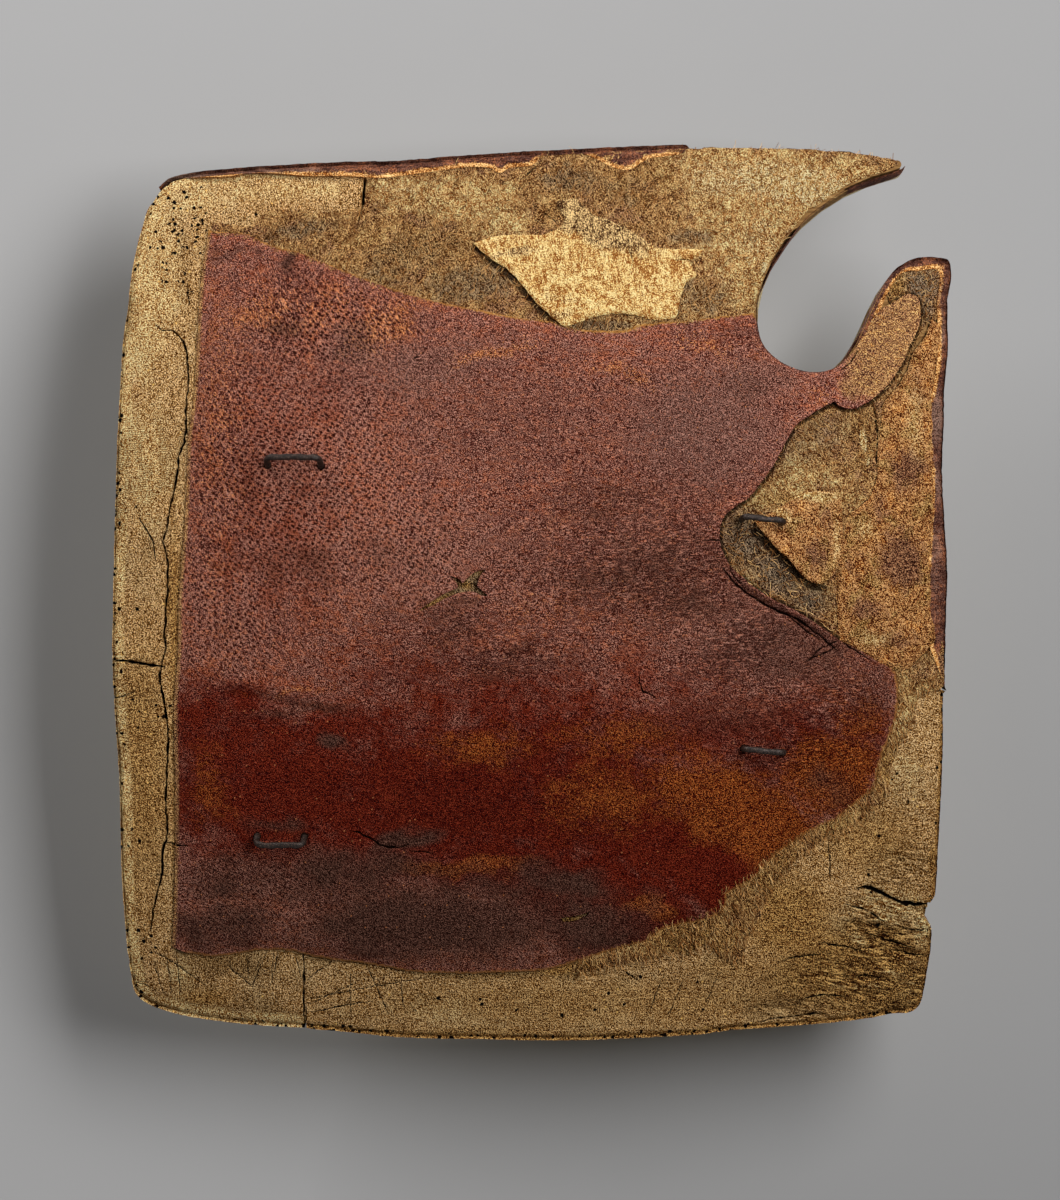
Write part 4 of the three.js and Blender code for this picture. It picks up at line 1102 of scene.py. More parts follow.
centreTear = [
    [(449, 575), (456, 577.5), (461, 580), (463.5, 583)],
    [(466, 580), (472, 574.5), (479, 571), (487, 570)],
    [(483, 573), (480, 578), (478.5, 583), (478, 586)],
    [(482, 590), (488, 596)],
    [(482, 595.5), (476, 592.5), (470, 591.5), (463, 592.5), (455, 594.5), (447, 598), (438, 603),
     (430, 607), (421, 610.5)],
    [(428, 604), (436, 599), (444, 594), (452, 590.5), (458, 588)],
    [(457.5, 583), (454, 579)],
]
lowerTear = [
    [(559, 917), (566, 915), (575, 914), (583, 912), (590, 909.5)],
    [(586, 915), (577, 919), (568, 921), (561, 920)],
]
lining = {
    "seed": 41,
    "waves": ((0.55, 75, 2), (0.16, 10, 3), (0.08, 5, 3)),  # height and length in millimetres, and octaves
    "thinEdge": (2.0, 11),
    "dent": (0.5, 1.0),  # at its very edge
    "sunk": 0.5,  # under the staples
    "arris": 4,
    "sheet": {"pitch": 2.2 * mm, "wallTo": 3.3 * mm, "seed": 43},
    # lines along which the edge lies thin, or stands up, with its height in millimetres
    "lifted": [
        (0.9, border["hollow"]), (0.5, border["loss"]), (0.8, border["crack"] + border["loss"][:1]),
        (1.0, border["tongue"][9:] + border["crack"][:1]),
    ],
    "ridges": [
        # width in pixels, height in millimetres, and the line
        (26, 1.0, [(236, 682), (262, 685), (300, 693), (330, 699), (352, 703)]),
        (16, -0.7, [(232, 693), (262, 697), (300, 706), (340, 714)]),
        (20, 0.5, [(405, 862), (440, 862), (480, 866), (505, 864)]),
        (18, 1.2, [(452, 598), (468, 596), (484, 599)]),
        (12, 1.3, [(735, 576), (760, 595), (790, 611), (820, 630)]),
        (12, -0.6, [(728, 572), (745, 594), (775, 612), (806, 630), (830, 650)]),
        (30, 0.4, [(600, 380), (640, 365), (690, 355), (730, 345)]),
        (9, -0.6, [(455, 605), (470, 606), (483, 603)]),
        (14, 0.5, [(800, 662), (815, 655), (835, 648)]),
    ],
    "cracks": [
        (0.9, 1.6, [(703, 541), (711, 540), (720, 541)]),
        (0.8, 1.2, [(638, 676), (640, 684), (641, 690), (648, 693), (655, 698)]),
        (1.0, 1.2, [(352, 829), (362, 832), (374, 838), (384, 844), (398, 846), (408, 843)]),
        (0.8, 1.0, [(412, 849), (424, 850), (434, 852)]),
        (0.9, 1.3, [(803, 660), (812, 656), (824, 651), (833, 646)]),
        (0.7, 1.0, [(728, 568), (731, 575), (738, 584)]),
        (1.0, 3.0, [(415.5, 359), (416.5, 359)]),
        (0.7, 0.8, [(836, 640), (852, 650), (868, 660)]),
        (0.8, 1.2, [(840, 372), (848, 364), (856, 352)]),
        (1.1, 1.2, [(722, 570), (738, 588), (762, 604), (795, 620), (815, 634), (834, 650)]),
        (0.8, 1.0, [(786, 616), (800, 628), (818, 640)]),
        (0.9, 1.0, [(836, 640), (818, 648), (806, 660)]),
        (1.2, 1.5, [(166, 842), (178, 845), (188, 845)]),
    ],
    "slanted": [
        (300, 320, 70, 70, 1.0), (380, 320, 60, 40, 0.8, 20), (230, 470, 50, 150, 0.7),
        (250, 640, 80, 60, 0.6), (420, 420, 70, 40, 0.3), (300, 600, 90, 60, 0.5),
    ],
    "russet": [
        (740, 815, 110, 44, 1.0, -24), (830, 775, 60, 44, 0.9), (460, 866, 80, 9, 0.9),
        (650, 905, 30, 12, 0.9), (600, 800, 70, 40, 0.5), (480, 745, 60, 24, 0.5), (210, 790, 26, 50, 0.4),
        (620, 735, 80, 26, 0.45), (850, 720, 40, 40, 0.5),
    ],
    "pitted": [
        (300, 480, 140, 150, 1.0), (330, 330, 90, 60, 0.9), (230, 600, 70, 90, 0.85),
        (400, 540, 90, 80, 0.8), (600, 700, 90, 80, 0.35), (280, 890, 150, 60, 0.5),
        (330, 740, 60, 30, 0.5), (640, 380, 90, 40, 0.4),
    ],
    "wrinkled": [
        (650, 560, 170, 110, 0.9), (800, 720, 110, 90, 0.8), (560, 430, 180, 80, 0.45),
        (500, 640, 160, 60, 0.7), (520, 800, 200, 80, 0.5), (740, 640, 90, 40, 1.0, 30),
        (740, 330, 60, 26, 0.7),
    ],
    # painted sheen on the upper half and the right of the lining, greying the red
    "painted_sheen": [
        (520, 420, 220, 80, 0.45), (360, 352, 40, 26, 0.9), (350, 380, 8, 40, 0.8),
        (700, 430, 100, 80, 1.0), (430, 370, 130, 34, 0.8, 12), (640, 540, 140, 60, 0.5),
        (300, 600, 160, 60, 0.15), (340, 690, 120, 10, 0.6, 10), (750, 640, 130, 80, 0.6),
        (480, 560, 200, 80, 0.5), (250, 350, 60, 60, 0.4), (560, 345, 60, 8, 0.5), (740, 380, 60, 30, 0.9),
    ],
    "deep": [
        (610, 900, 110, 54, 1.4, -14), (560, 735, 330, 46, 0.85), (820, 745, 110, 60, 0.75),
        (520, 680, 260, 36, 0.45), (270, 500, 90, 160, 0.35), (700, 860, 80, 50, 1.4, -34),
        (220, 715, 80, 46, 0.9), (500, 705, 180, 50, 0.7), (490, 860, 90, 40, 1.0),
        (290, 790, 200, 90, 1.0), (430, 800, 250, 100, 1.0), (560, 800, 200, 90, 1.0),
        (230, 735, 90, 60, 0.9), (640, 830, 160, 70, 1.0, -20), (330, 400, 60, 40, 0.3),
        (420, 690, 130, 60, 0.55), (640, 700, 160, 60, 0.5), (740, 760, 120, 60, 0.6, -20),
        (330, 735, 120, 34, 0.9, 8),
    ],
    "orange": [
        (265, 315, 66, 30, 0.8, 14), (390, 325, 60, 26, 0.9, 40), (222, 430, 40, 150, 0.65),
        (500, 352, 60, 10, 1.0, 10), (622, 378, 50, 9, 0.9, -27), (700, 348, 50, 12, 0.8, -22),
        (430, 700, 60, 16, 0.4), (215, 580, 30, 90, 0.4), (300, 690, 56, 5, 0.9, 10),
        (210, 760, 26, 60, 0.3), (550, 610, 80, 30, 0.3), (230, 640, 30, 60, 0.3), (480, 608, 30, 10, 0.4),
        (820, 395, 26, 12, 0.7, -40), (340, 300, 80, 26, 0.6, 20), (560, 530, 60, 20, 0.3),
        (760, 345, 20, 30, 0.4),
    ],
    # dark patches and scars, and painted shade in the crease under the fold at (290, 712)
    "dark": [
        (220, 925, 100, 34, 0.75), (330, 880, 200, 40, 0.7), (560, 925, 120, 34, 0.7),
        (300, 380, 50, 70, 0.25), (270, 480, 70, 70, 0.35), (284, 328, 24, 16, 0.6),
        (290, 262, 7, 16, 0.8, 15), (236, 255, 34, 4, 0.6, -4), (450, 622, 50, 36, 0.5),
        (390, 620, 50, 30, 0.35), (750, 385, 50, 30, 0.4), (600, 500, 80, 26, 0.45),
        (870, 690, 40, 40, 0.5), (370, 865, 90, 24, 0.8), (430, 925, 180, 50, 0.95),
        (580, 920, 120, 40, 0.8, -10), (395, 843, 60, 12, 0.9, 14), (335, 740, 24, 10, 0.8),
        (282, 822, 46, 12, 0.6), (290, 712, 70, 10, 0.6, 8), (230, 250, 40, 12, 0.5, 6),
        (290, 322, 24, 12, 0.6), (230, 880, 90, 34, 0.7), (640, 890, 60, 16, 0.4, -20),
        (355, 345, 24, 30, 0.5), (290, 264, 9, 16, 0.45, 20), (250, 252, 50, 4, 0.6, -6),
        (480, 895, 160, 30, 0.7), (340, 865, 90, 30, 0.8), (560, 880, 70, 22, 0.85, -10),
        (290, 885, 60, 24, 0.7), (660, 580, 140, 60, 0.55), (790, 650, 100, 50, 0.55),
        (520, 660, 90, 22, 0.5), (300, 565, 90, 34, 0.42), (400, 560, 50, 30, 0.36),
        (700, 430, 60, 60, 0.3), (240, 630, 60, 26, 0.36), (700, 720, 120, 34, 0.4),
        (830, 790, 50, 26, 0.5, -30), (850, 690, 50, 40, 0.4),
    ],
    "bare": [
        (884, 345, 40, 40, 1.3, -58), (868, 378, 32, 24, 1.0, -40), (902, 310, 24, 20, 1.3),
        (850, 390, 18, 14, 0.75, -30),
    ],
}
liningMarks = ("pitted", "wrinkled", "slanted", "painted_sheen", "deep", "orange", "russet", "dark")
thinBorder = [border["top"], border["side"] + border["corner"] + border["fringe"] + border["bottom"],
              border["left"] + border["top"][:1]]


def liningForm(flat, gap):
    seed = lining["seed"]
    outer = gapTo(flat, edgeLine, 9 * mm)
    lie = 0.0
    for i, (height, size, octaves) in enumerate(lining["waves"]):
        lie = lie + height * ripple(flat, size * mm, seed + i, octaves=octaves)
    gaps = [gapToPixels(flat, line, 12 * mm) for line in thinBorder]
    thin = np.min(gaps, axis=0)
    depth = -lie * mm + falloff(thin, *lining["thinEdge"]) + arris(outer, lining["arris"] * mm)
    depth = depth + falloff(thin, *lining["dent"])
    for height, line in lining["lifted"]:
        near = gapToPixels(flat, line, 6 * mm)
        depth = depth - falloff(near, height, 5.5)
    depth = withRidges(depth, flat, lining["ridges"])
    for side in staples.values():
        near = gapTo(flat, staplePath(side), 7 * mm)
        depth = depth + lining["sunk"] * mm * fading(near, 1 * mm, 7 * mm)
    crack, cut = crackForm(flat, liningCracks, seed + 6)
    depth = depth + cut
    rims = [fading(near, 2 * mm, 4 * mm) for near in gaps]
    marks = patchMarks(flat, lining, liningMarks, 7 * mm, seed + 3)
    marks["crack"], marks["rimmed"] = crack, np.maximum(rims[0], 0.6 * rims[1])
    marks["bare"] = patches(flat, lining["bare"], 2.5 * mm, seed + 5)
    # painted shade: a dark ring round the foot of each staple leg, laid in through the crack mark
    for side in staples.values():
        for end in staplePath(side):
            marks["crack"] = np.minimum(marks["crack"], np.linalg.norm(flat - end, axis=1) / mm - 2.5)
    marks["bare"] = np.maximum(marks["bare"], 0.9 * fading(gaps[2], 0.5 * mm, 3.5 * mm))
    return depth, marks


# Staples of forged iron wire

staples = {
    # place in pixels, span between the legs, turn of the bridge, and lean upwards for each millimetre out
    "staple_upper_left": {"place": (296.4, 466.8), "span": 32, "turn": -0.02, "lean": 0.4},
    "staple_lower_left": {"place": (282.5, 834.7), "span": 28.4, "turn": 0, "lean": -0.32},
    "staple_upper_right": {"place": (760, 521.8), "span": 24, "turn": -0.1, "lean": 0.08},
    "staple_lower_right": {"place": (761.2, 749.1), "span": 23, "turn": -0.11, "lean": 0.12},
}
stapleWire = {"width": 4.0, "standOff": 8, "bend": 4.2, "root": 4, "sides": 14, "hammered": 0.16}


def staplePath(side):
    centre = spots([side["place"]])[0]
    half = side["span"] / 2 * mm
    reach = np.array((math.cos(side["turn"]), math.sin(side["turn"]))) * half
    return np.array((centre - reach, centre + reach))


def forgedIron():
    material, shader = start("forged iron")
    scale = grain((1.1, 1.1, 1.1), detail=4, roughness=0.7)
    hammered = grain((3.4, 2.2, 2.2), detail=2)
    colour = tones(scale, (0.3, (13, 8, 6)), (0.5, (34, 24, 19)), (0.66, (76, 57, 47)),
                   (0.8, (140, 108, 84)))
    height = added(hammered, 1.2, scale)
    shader.inputs["Metallic"].default_value = 0.5
    gloss = span(hammered, 0.35, 0.65, (0.34, 0.58))
    finish(shader, colour, gloss, raised(height, 0.35), 0.5)
    return material


def makeStaple(name, side, material, seed):
    wire = stapleWire
    half, top, bend = side["span"] / 2, -wire["standOff"] - wire["width"] / 2, wire["bend"]
    line = [(-half, wire["root"]), (-half, 0), (-half, top + bend)]
    line += [(-half + bend * (1 - math.cos(a)), top + bend * (1 - math.sin(a)))
             for a in np.linspace(0.15, math.pi / 2, 7)]
    line += [(x, top) for x in np.linspace(-half + bend + 1.5, half - bend - 1.5, 12)]
    line += [(-x, y) for x, y in reversed(line[:10])]
    line = curve(np.array(line), 0.8)
    centre = spots([side["place"]])
    inwards = through(centre)[0]
    along = np.array((math.cos(side["turn"]), 0, math.sin(side["turn"])))
    along -= inwards * (along @ inwards)
    along /= np.linalg.norm(along)
    up = np.cross(along, inwards)
    ways = np.gradient(line, axis=0)
    ways /= np.linalg.norm(ways, axis=1, keepdims=True)
    dice = np.random.default_rng(seed)
    sway = np.interp(np.arange(len(line)), np.linspace(0, len(line), 9), dice.uniform(-0.35, 0.35, 9))
    places, faces = [], []
    count, sides = len(line), wire["sides"]
    for i, ((x, y), (wayX, wayY)) in enumerate(zip(line, ways)):
        lift = -side["lean"] * min(y, 0)
        for k in range(sides):
            angle = 2 * math.pi * k / sides
            cos, sin = math.cos(angle), math.sin(angle)
            square = (abs(cos) ** 3 + abs(sin) ** 3) ** (-1 / 3)
            radius = wire["width"] / 2 * square * (1 + wire["hammered"] * dice.uniform(-0.35, 0.35))
            radius *= 0.94 + 0.06 * math.sin(i * 0.7 + seed)
            inPlane, aside = radius * cos * 0.96, radius * sin
            a = x - wayY * inPlane
            d = y + wayX * inPlane
            places.append((a * along + d * inwards + (lift + aside + sway[i]) * up) * mm)
    places = np.array(places) + laid(centre, 0)[0]
    for i in range(count - 1):
        for k in range(sides):
            n = (k + 1) % sides
            faces.append((i * sides + k, (i + 1) * sides + k, (i + 1) * sides + n, i * sides + n))
    piece = meshObject(name, places, faces, sharpAngle=70)
    smoother = piece.modifiers.new("smooth", "SUBSURF")
    smoother.levels = smoother.render_levels = 1
    dress(piece, material, "iron", name.replace("iron_", ""))


iron = forgedIron()
for seed, (name, side) in enumerate(staples.items()):
    makeStaple("iron_" + name, side, iron, seed + 51)

liningCracks = crackLines(lining["cracks"], 48)
liningEdge = frayed(liningLoop(1.5 * mm), 0.5 * mm, 3 * mm, 47)
liningPiece = sheet(
    "red_lining",
    [liningEdge, tornLoop(centreTear, 0.8, 0.2, 2, 3), tornLoop(lowerTear, 0.8, 0.3, 2, 4)],
    liningForm, crackPlaces(liningCracks), **lining["sheet"],
)
dress(liningPiece, redLeather(), "red_leather", "back_lining")


# Bare hide at the right and the flap over the hollow, and the pale flake above them

def bareHide(name, bright):
    material, shader = start(name)
    lumps = grain((5, 5, 6), detail=4, roughness=0.65)
    curd = grain((1.6, 1.6, 1.5), 20, detail=3, roughness=0.65)
    bits = grain((0.65, 0.65, 0.7), 12, detail=1)
    drift = grain((11, 11, 14), -30, detail=3)
    share = layered((curd, 0.8), (bits, 1.9), (lumps, 0.6))
    colour = ramp(share, (80, 34, 12), (114, 62, 30), (154, 95, 50), (186, 127, 73), (212, 158, 104))
    colour = blend(times(span(bits, 0.58, 0.68), bright), colour,
                   tone(206, 154, 78))
    olive = ramp(share, (58, 38, 10), (90, 66, 24), (122, 92, 40), (152, 120, 62), (186, 154, 94))
    colour = blend(span(drift, 0.52, 0.64, (0, 0.5)), colour, olive)
    amber = ramp(share, (98, 36, 6), (140, 68, 22), (180, 104, 42), (208, 138, 68), (232, 172, 102))
    colour = blend(span(drift, 0.44, 0.34, (0, 0.75)), colour, amber)
    red = ramp(share, (50, 22, 14), (72, 38, 26), (98, 56, 40), (130, 82, 56), (166, 118, 84))
    colour = blend(uneven("stained", lumps, 1.6, 0.15, 0.85), colour, red)
    # painted highlight: a lighter tone where the lit mark lies
    lit = ramp(share, (126, 78, 30), (170, 118, 56), (206, 154, 84), (232, 190, 118), (248, 218, 156))
    colour = blend(mark("lit"), colour, lit)
    colour = blend(cracked(bits), colour, tone(22, 11, 5))
    finish(shader, colour, 0.8, raised(share, 0.8))
    return material


def paleHide():
    material, shader = start("pale hide")
    streaks = grain((1.3, 3, 4.5), 6, detail=3, roughness=0.6, distortion=0.5)
    cloud = grain((6, 6, 7), detail=4, roughness=0.6)
    bits = grain((0.65, 0.65, 0.7), detail=1)
    share = layered((streaks, 1.0), (cloud, 1.0), (bits, 1.9))
    pale = ramp(share, (156, 98, 44), (194, 136, 70), (220, 170, 98), (236, 194, 120), (248, 216, 148))
    brown = ramp(share, (70, 40, 20), (104, 68, 40), (146, 106, 66), (190, 150, 98), (222, 186, 128))
    colour = blend(uneven("brown", cloud, 1.6, 0.1, 0.8), pale, brown)
    colour = blend(cracked(bits), colour, tone(52, 28, 12))
    finish(shader, colour, 0.78, raised(share, 0.7))
    return material


hideSide = {
    "seed": 63,
    "depth": 0.9,  # its relief, with the width of its thin edge, in millimetres
    "waves": [(0.45, 16), (0.3, 4)],
    "thinEdge": (1.6, 2.6),
    "fray": {"step": 1.5, "fray": 0.6, "wave": 4, "seed": 8},
    "sheet": {"pitch": 1.9 * mm, "wallTo": 2.6 * mm, "seed": 61},
    "loop": [
        [(931, 317), (925, 334), (917, 346), (911, 354), (906, 369), (898, 384), (891, 392), (881, 405)],
        [(878, 430), (875, 455), (874, 480), (865, 500), (846, 515), (840, 540), (837, 558),
         (833, 578), (833, 600), (836, 630)],
        [(838, 641), (853, 650), (868, 658), (884, 667)],
        [(895, 672), (905, 669), (915, 661), (925, 651), (935, 640)],
        [(930, 610), (930, 560), (933, 510), (932, 450), (932, 400), (938, 360), (941, 330)],
    ],
    "stained": [
        (900, 560, 26, 34, 1.0), (905, 470, 22, 26, 0.9), (865, 610, 22, 16, 0.7), (880, 510, 14, 16, 0.6),
        (915, 390, 10, 30, 0.5), (890, 640, 30, 14, 0.6), (850, 570, 12, 20, 0.5),
    ],
    # painted highlight spots
    "lit": [(862, 530, 10, 12, 0.5), (912, 420, 8, 40, 0.35), (872, 640, 16, 6, 0.5, 30)],
    "ridges": [(16, 0.8, [(880, 420), (878, 450), (876, 480), (868, 500), (848, 518)]),
               (18, 0.7, [(842, 540), (838, 570), (838, 600), (840, 626)]),
               (26, 0.5, [(905, 430), (895, 480), (900, 530), (890, 580), (880, 620)])],
}
flap = {
    "seed": 61,
    "depth": 0.9,  # its relief, with the widths of curls and edges, in millimetres
    "waves": [(0.35, 8)],
    "curl": (2.6, 11),
    "lip": (0.8, 4),
    "thinEdge": (0.6, 1.0),
    "fray": {"step": 1.3, "fray": 0.4, "wave": 3, "seed": 9},
    "sheet": {"pitch": 1.5 * mm, "wallTo": 1.9 * mm, "seed": 62},
    "loop": [
        [(754, 523), (766, 515), (780, 507), (791, 499)],
        [(800, 494), (815, 492), (832, 494)],
        [(839, 498), (840, 520), (840, 545), (838, 560)],
        [(833, 570), (828, 578), (818, 584), (805, 580), (795, 570), (785, 558), (775, 550),
         (765, 538), (757, 529)],
    ],
    "stained": [(815, 555, 16, 18, 0.7), (780, 530, 16, 8, 0.5, -30), (824, 520, 10, 20, 0.5)],
    # painted highlight along the flap's raised top edges
    "lit": [(812, 497, 30, 5, 1.0), (776, 512, 18, 5, 0.7, -33), (833, 540, 4, 30, 0.5)],
}
flake = {
    "seed": 66,
    "depth": 0.4,  # its relief, with the widths of its curl and edge, in millimetres
    "waves": [(0.5, 18), (0.25, 5)],
    "curl": (1.3, 8),
    "thinEdge": (0.8, 1.6),
    "fray": {"step": 1.4, "fray": 0.7, "wave": 3, "seed": 10},
    "sheet": {"pitch": 1.7 * mm, "wallTo": 1.7 * mm, "seed": 63},
    "loop": [
        [(474, 245), (486, 240), (500, 237), (520, 236), (540, 236), (552, 232), (562, 226)],
        [(565, 218), (560, 210), (556, 203), (565, 200), (575, 200), (585, 208), (594, 216), (610, 222),
         (626, 229), (640, 238), (654, 248)],
        [(670, 250), (686, 250), (702, 251)],
        [(698, 257), (690, 262), (692, 269), (696, 277), (690, 281), (685, 285), (682, 292), (680, 300),
         (678, 309), (675, 318)],
        [(665, 321), (655, 322), (642, 319), (630, 316), (615, 315), (600, 317), (585, 322), (575, 326),
         (565, 328)],
        [(558, 324), (553, 320), (544, 312), (535, 303), (524, 289), (512, 275), (500, 266), (490, 260)],
    ],
    "brown": [
        (600, 226, 56, 22, 1.5, -25), (570, 212, 30, 22, 1.6), (520, 254, 16, 6, 0.8, 10),
        (640, 250, 26, 8, 0.5, 20), (600, 246, 20, 8, 0.4), (556, 318, 30, 6, 0.6), (680, 262, 12, 12, 0.4),
        (500, 256, 26, 4, 0.5, 14), (560, 300, 30, 8, 0.35, -12),
    ],
    "cracks": [
        (0.5, 0.5, [(676, 262), (684, 261), (692, 262)]),
        (0.4, 0.4, [(628, 246), (632, 262), (630, 270)]),
    ],
}


def flapForm(flat, gap):
    low = gapToPixels(flat, flap["loop"][3], 12 * mm, 2 * mm)
    lip = gapToPixels(flat, flap["loop"][1], 5 * mm, 2 * mm)
    depth = waved(flat, flap) - falloff(low, *flap["curl"]) - falloff(lip, *flap["lip"])
    depth = depth + falloff(gap, *flap["thinEdge"])
    marks = patchMarks(flat, flap, ("stained", "lit"), 2 * mm, flap["seed"] + 1)
    marks["crack"] = np.full(len(flat), 3.0)
    return depth, marks


def sideForm(flat, gap):
    depth = waved(flat, hideSide) + falloff(gap, *hideSide["thinEdge"])
    depth = withRidges(depth, flat, hideSide["ridges"])
    marks = patchMarks(flat, hideSide, ("stained", "lit"), 4 * mm, hideSide["seed"] + 2)
    marks["crack"] = gap / mm - 0.2
    return depth, marks


def flakeForm(flat, gap):
    left = gapToPixels(flat, flake["loop"][5] + flake["loop"][0][:1], 9 * mm, 2 * mm)
    depth = waved(flat, flake) - falloff(left, *flake["curl"]) + falloff(gap, *flake["thinEdge"])
    crack, cut = crackForm(flat, flakeCracks, flake["seed"] + 3)
    return depth + cut, {"crack": crack, "brown": patches(flat, flake["brown"], 2 * mm, flake["seed"] + 2)}


flakeCracks = crackLines(flake["cracks"], 64)
sideHide = sheet("side_hide", [tornLoop(hideSide["loop"], **hideSide["fray"])], sideForm, **hideSide["sheet"])
dress(sideHide, bareHide("bare hide", 0.6), "bare_hide", "back_side_hide")
hideFlap = sheet("hide_flap", [tornLoop(flap["loop"], **flap["fray"])], flapForm, **flap["sheet"])
dress(hideFlap, bareHide("flap hide", 0.35), "bare_hide", "back_hide_flap")
paleFlake = sheet("pale_flake", [tornLoop(flake["loop"], **flake["fray"])], flakeForm,
                  crackPlaces(flakeCracks), **flake["sheet"])
dress(paleFlake, paleHide(), "pale_hide", "back_pale_flake")


# Hide turned over the top edge, round the notch's mouth and down the right side

def turnedHide():
    material, shader = start("turned hide")
    along = grain((8, 4, 1.8), detail=3, roughness=0.6)
    skin = grain((0.65, 0.65, 0.65), detail=1)
    hue = grain((1.9, 1.9, 1.9), detail=3, roughness=0.65)
    cloud = grain((12, 12, 12), detail=3)
    share = layered((along, 0.8), (skin, 1.5), (cloud, 0.4))
    dark = ramp(share, (54, 28, 22), (67, 39, 32), (80, 51, 43), (97, 64, 53), (118, 82, 69))
    red = ramp(share, (62, 28, 16), (86, 46, 30), (110, 64, 43), (138, 80, 52), (160, 100, 68))
    colour = blend(span(layered((hue, 1.4), (cloud, 1.0)), 0.35, 0.8), dark, red)
    # worn: greyed patches; along the top strip they are painted sheen
    worn = ramp(share, (60, 42, 33), (92, 67, 55), (116, 90, 78), (130, 102, 89), (146, 118, 104))
    colour = blend(uneven("worn", cloud, 0.9, 0.1, 0.9), colour, worn)
    ochre = ramp(share, (96, 44, 14), (146, 86, 36), (188, 120, 56), (216, 152, 84), (240, 190, 124))
    colour = blend(uneven("ochre", hue, 1.0, 0.2, 0.7), colour, ochre)
    colour = blend(cracked(skin), colour, tone(20, 10, 6))
    finish(shader, colour, 0.66, raised(share, 0.5))
    return material


turned = {
    "seed": 71,
    "depth": 1.9,  # its relief, with the widths of its edges, in millimetres
    "waves": [(0.3, 9), (0.15, 3)],
    "arris": 5,
    "rim": (0.5, 3),
    "fray": {"step": 1.4, "fray": 0.25, "wave": 3, "seed": 12, "depth": 4.4},
    "sheet": {"pitch": 1.7 * mm, "wallTo": shield["hideFront"], "seed": 71},
    "top": [
        outline["top"][1:9] + [(520, 152.2), (550, 151), (600, 148), (650, 146), (686, 145)],
        [(690, 147), (681, 155), (665, 158), (650, 160), (640, 165), (633, 170), (625, 172), (615, 170),
         (600, 163), (590, 158), (580, 155), (560, 155), (540, 158), (535, 165), (530, 168), (510, 170),
         (500, 175), (490, 170), (470, 169), (450, 171), (430, 174), (400, 178), (380, 180), (350, 178),
         (300, 177), (280, 175), (250, 174), (230, 177), (200, 178), (172, 177), (164, 181)],
    ],
    "right": [
        [(842, 361)] + outline["prong"][1:],
        outline["upperRight"],
        [(944, 690), (938, 676), (932, 660.5), (926, 645), (922, 620), (923, 581), (925, 541), (927, 511),
         (928, 481), (926, 451), (923, 426), (925, 406), (931, 388), (935, 361), (936, 331), (936, 301),
         (939, 279), (936, 271), (920, 272), (903, 274), (893, 283), (885, 297), (877, 316), (868, 335.6),
         (856, 355.8), (845, 371)],
    ],
    # greyed patches: painted sheen along the top strip, and greying down the right side
    "worn": [
        (190, 176, 50, 7, 0.8), (280, 170, 70, 6, 0.5), (935, 420, 10, 40, 0.6), (932, 560, 10, 60, 0.35),
        (940, 330, 6, 30, 0.5), (935, 480, 8, 30, 0.5),
    ],
    "ochre": [
        (924, 560, 3, 60, 0.4), (927, 450, 3, 60, 0.5), (935, 345, 3, 50, 0.6), (300, 177, 150, 2.2, 0.8),
        (610, 170, 16, 3, 0.9, 10), (445, 172, 40, 2.2, 0.7, -8), (940, 265, 8, 6, 0.4),
    ],
}


def turnedForm(flat, gap):
    outer = gapTo(flat, edgeLine, 12 * mm)
    seed = turned["seed"]
    depth = waved(flat, turned) + arris(outer, turned["arris"] * mm)
    depth = depth - falloff(gap, *turned["rim"]) * smoothStep(outer, 2 * mm, 4 * mm)
    marks = patchMarks(flat, turned, ("worn", "ochre"), 1.5 * mm, seed + 2)
    marks["crack"] = np.full(len(flat), 3.0)
    lip = fading(gap, 1.8 * mm, 3.4 * mm) * smoothStep(outer, 2 * mm, 3.5 * mm)
    broken = smoothStep(ripple(flat, 30 * mm, seed + 3), -0.5, 0.1)
    marks["ochre"] = np.maximum(marks["ochre"], 0.85 * lip * broken)
    return depth, marks


def band(name, line, closed, rows, seed):
    # a strip along the edge, whose rows give its depth and how far out it stands, in millimetres
    if closed:
        line = line[:-1] if np.allclose(line[0], line[-1]) else line
        along = np.roll(line, -1, axis=0) - np.roll(line, 1, axis=0)
    else:
        along = np.gradient(line, axis=0)
    along /= np.linalg.norm(along, axis=1, keepdims=True)
    outward = np.column_stack((-along[:, 1], along[:, 0]))
    places, count, faces = [], len(line), []
    for index, (depth, out) in enumerate(rows):
        wave = ripple(line, 2.4 * mm, seed + index, octaves=2) * 0.15 * mm
        places.append(laid(line + outward * (out * mm + wave)[:, None], depth * mm))
    for row in range(len(rows) - 1):
        for i in range(count if closed else count - 1):
            n = (i + 1) % count
            faces.append((row * count + n, row * count + i, (row + 1) * count + i, (row + 1) * count + n))
    places = np.vstack(places)
    zero = np.zeros(len(places))
    return meshObject(name, places, faces, {"crack": zero + 3, "worn": zero, "ochre": zero})


turnedMaterial = turnedHide()
turnedLoops = [tornLoop(turned[key], **turned["fray"]) for key in ("top", "right")]
turnedPiece = sheet("turned_hide", turnedLoops, turnedForm, **turned["sheet"])
dress(turnedPiece, turnedMaterial, "turned_hide", "front_hide")
notchLine = curve(spots(outline["horn"][1:] + outline["underHorn"] + outline["seat"]), 1.5 * mm)
notchBand = band("notch_hide", notchLine, False, [(3.0, 0.05), (3.4, 0.25), (9, 0.3), (15.3, 0.1)], 75)
dress(notchBand, turnedMaterial, "turned_hide", "front_hide")
edgeRows = [(13.7, -3), (13.75, -0.1), (14.6, 0.15), (15.4, -0.1), (15.5, -3)]
edgeBand = band("front_edge", edgeLoop, True, edgeRows, 76)
dress(edgeBand, turnedMaterial, "turned_hide", "front_hide")


# The front: linen over hide under a cracked ground of gesso

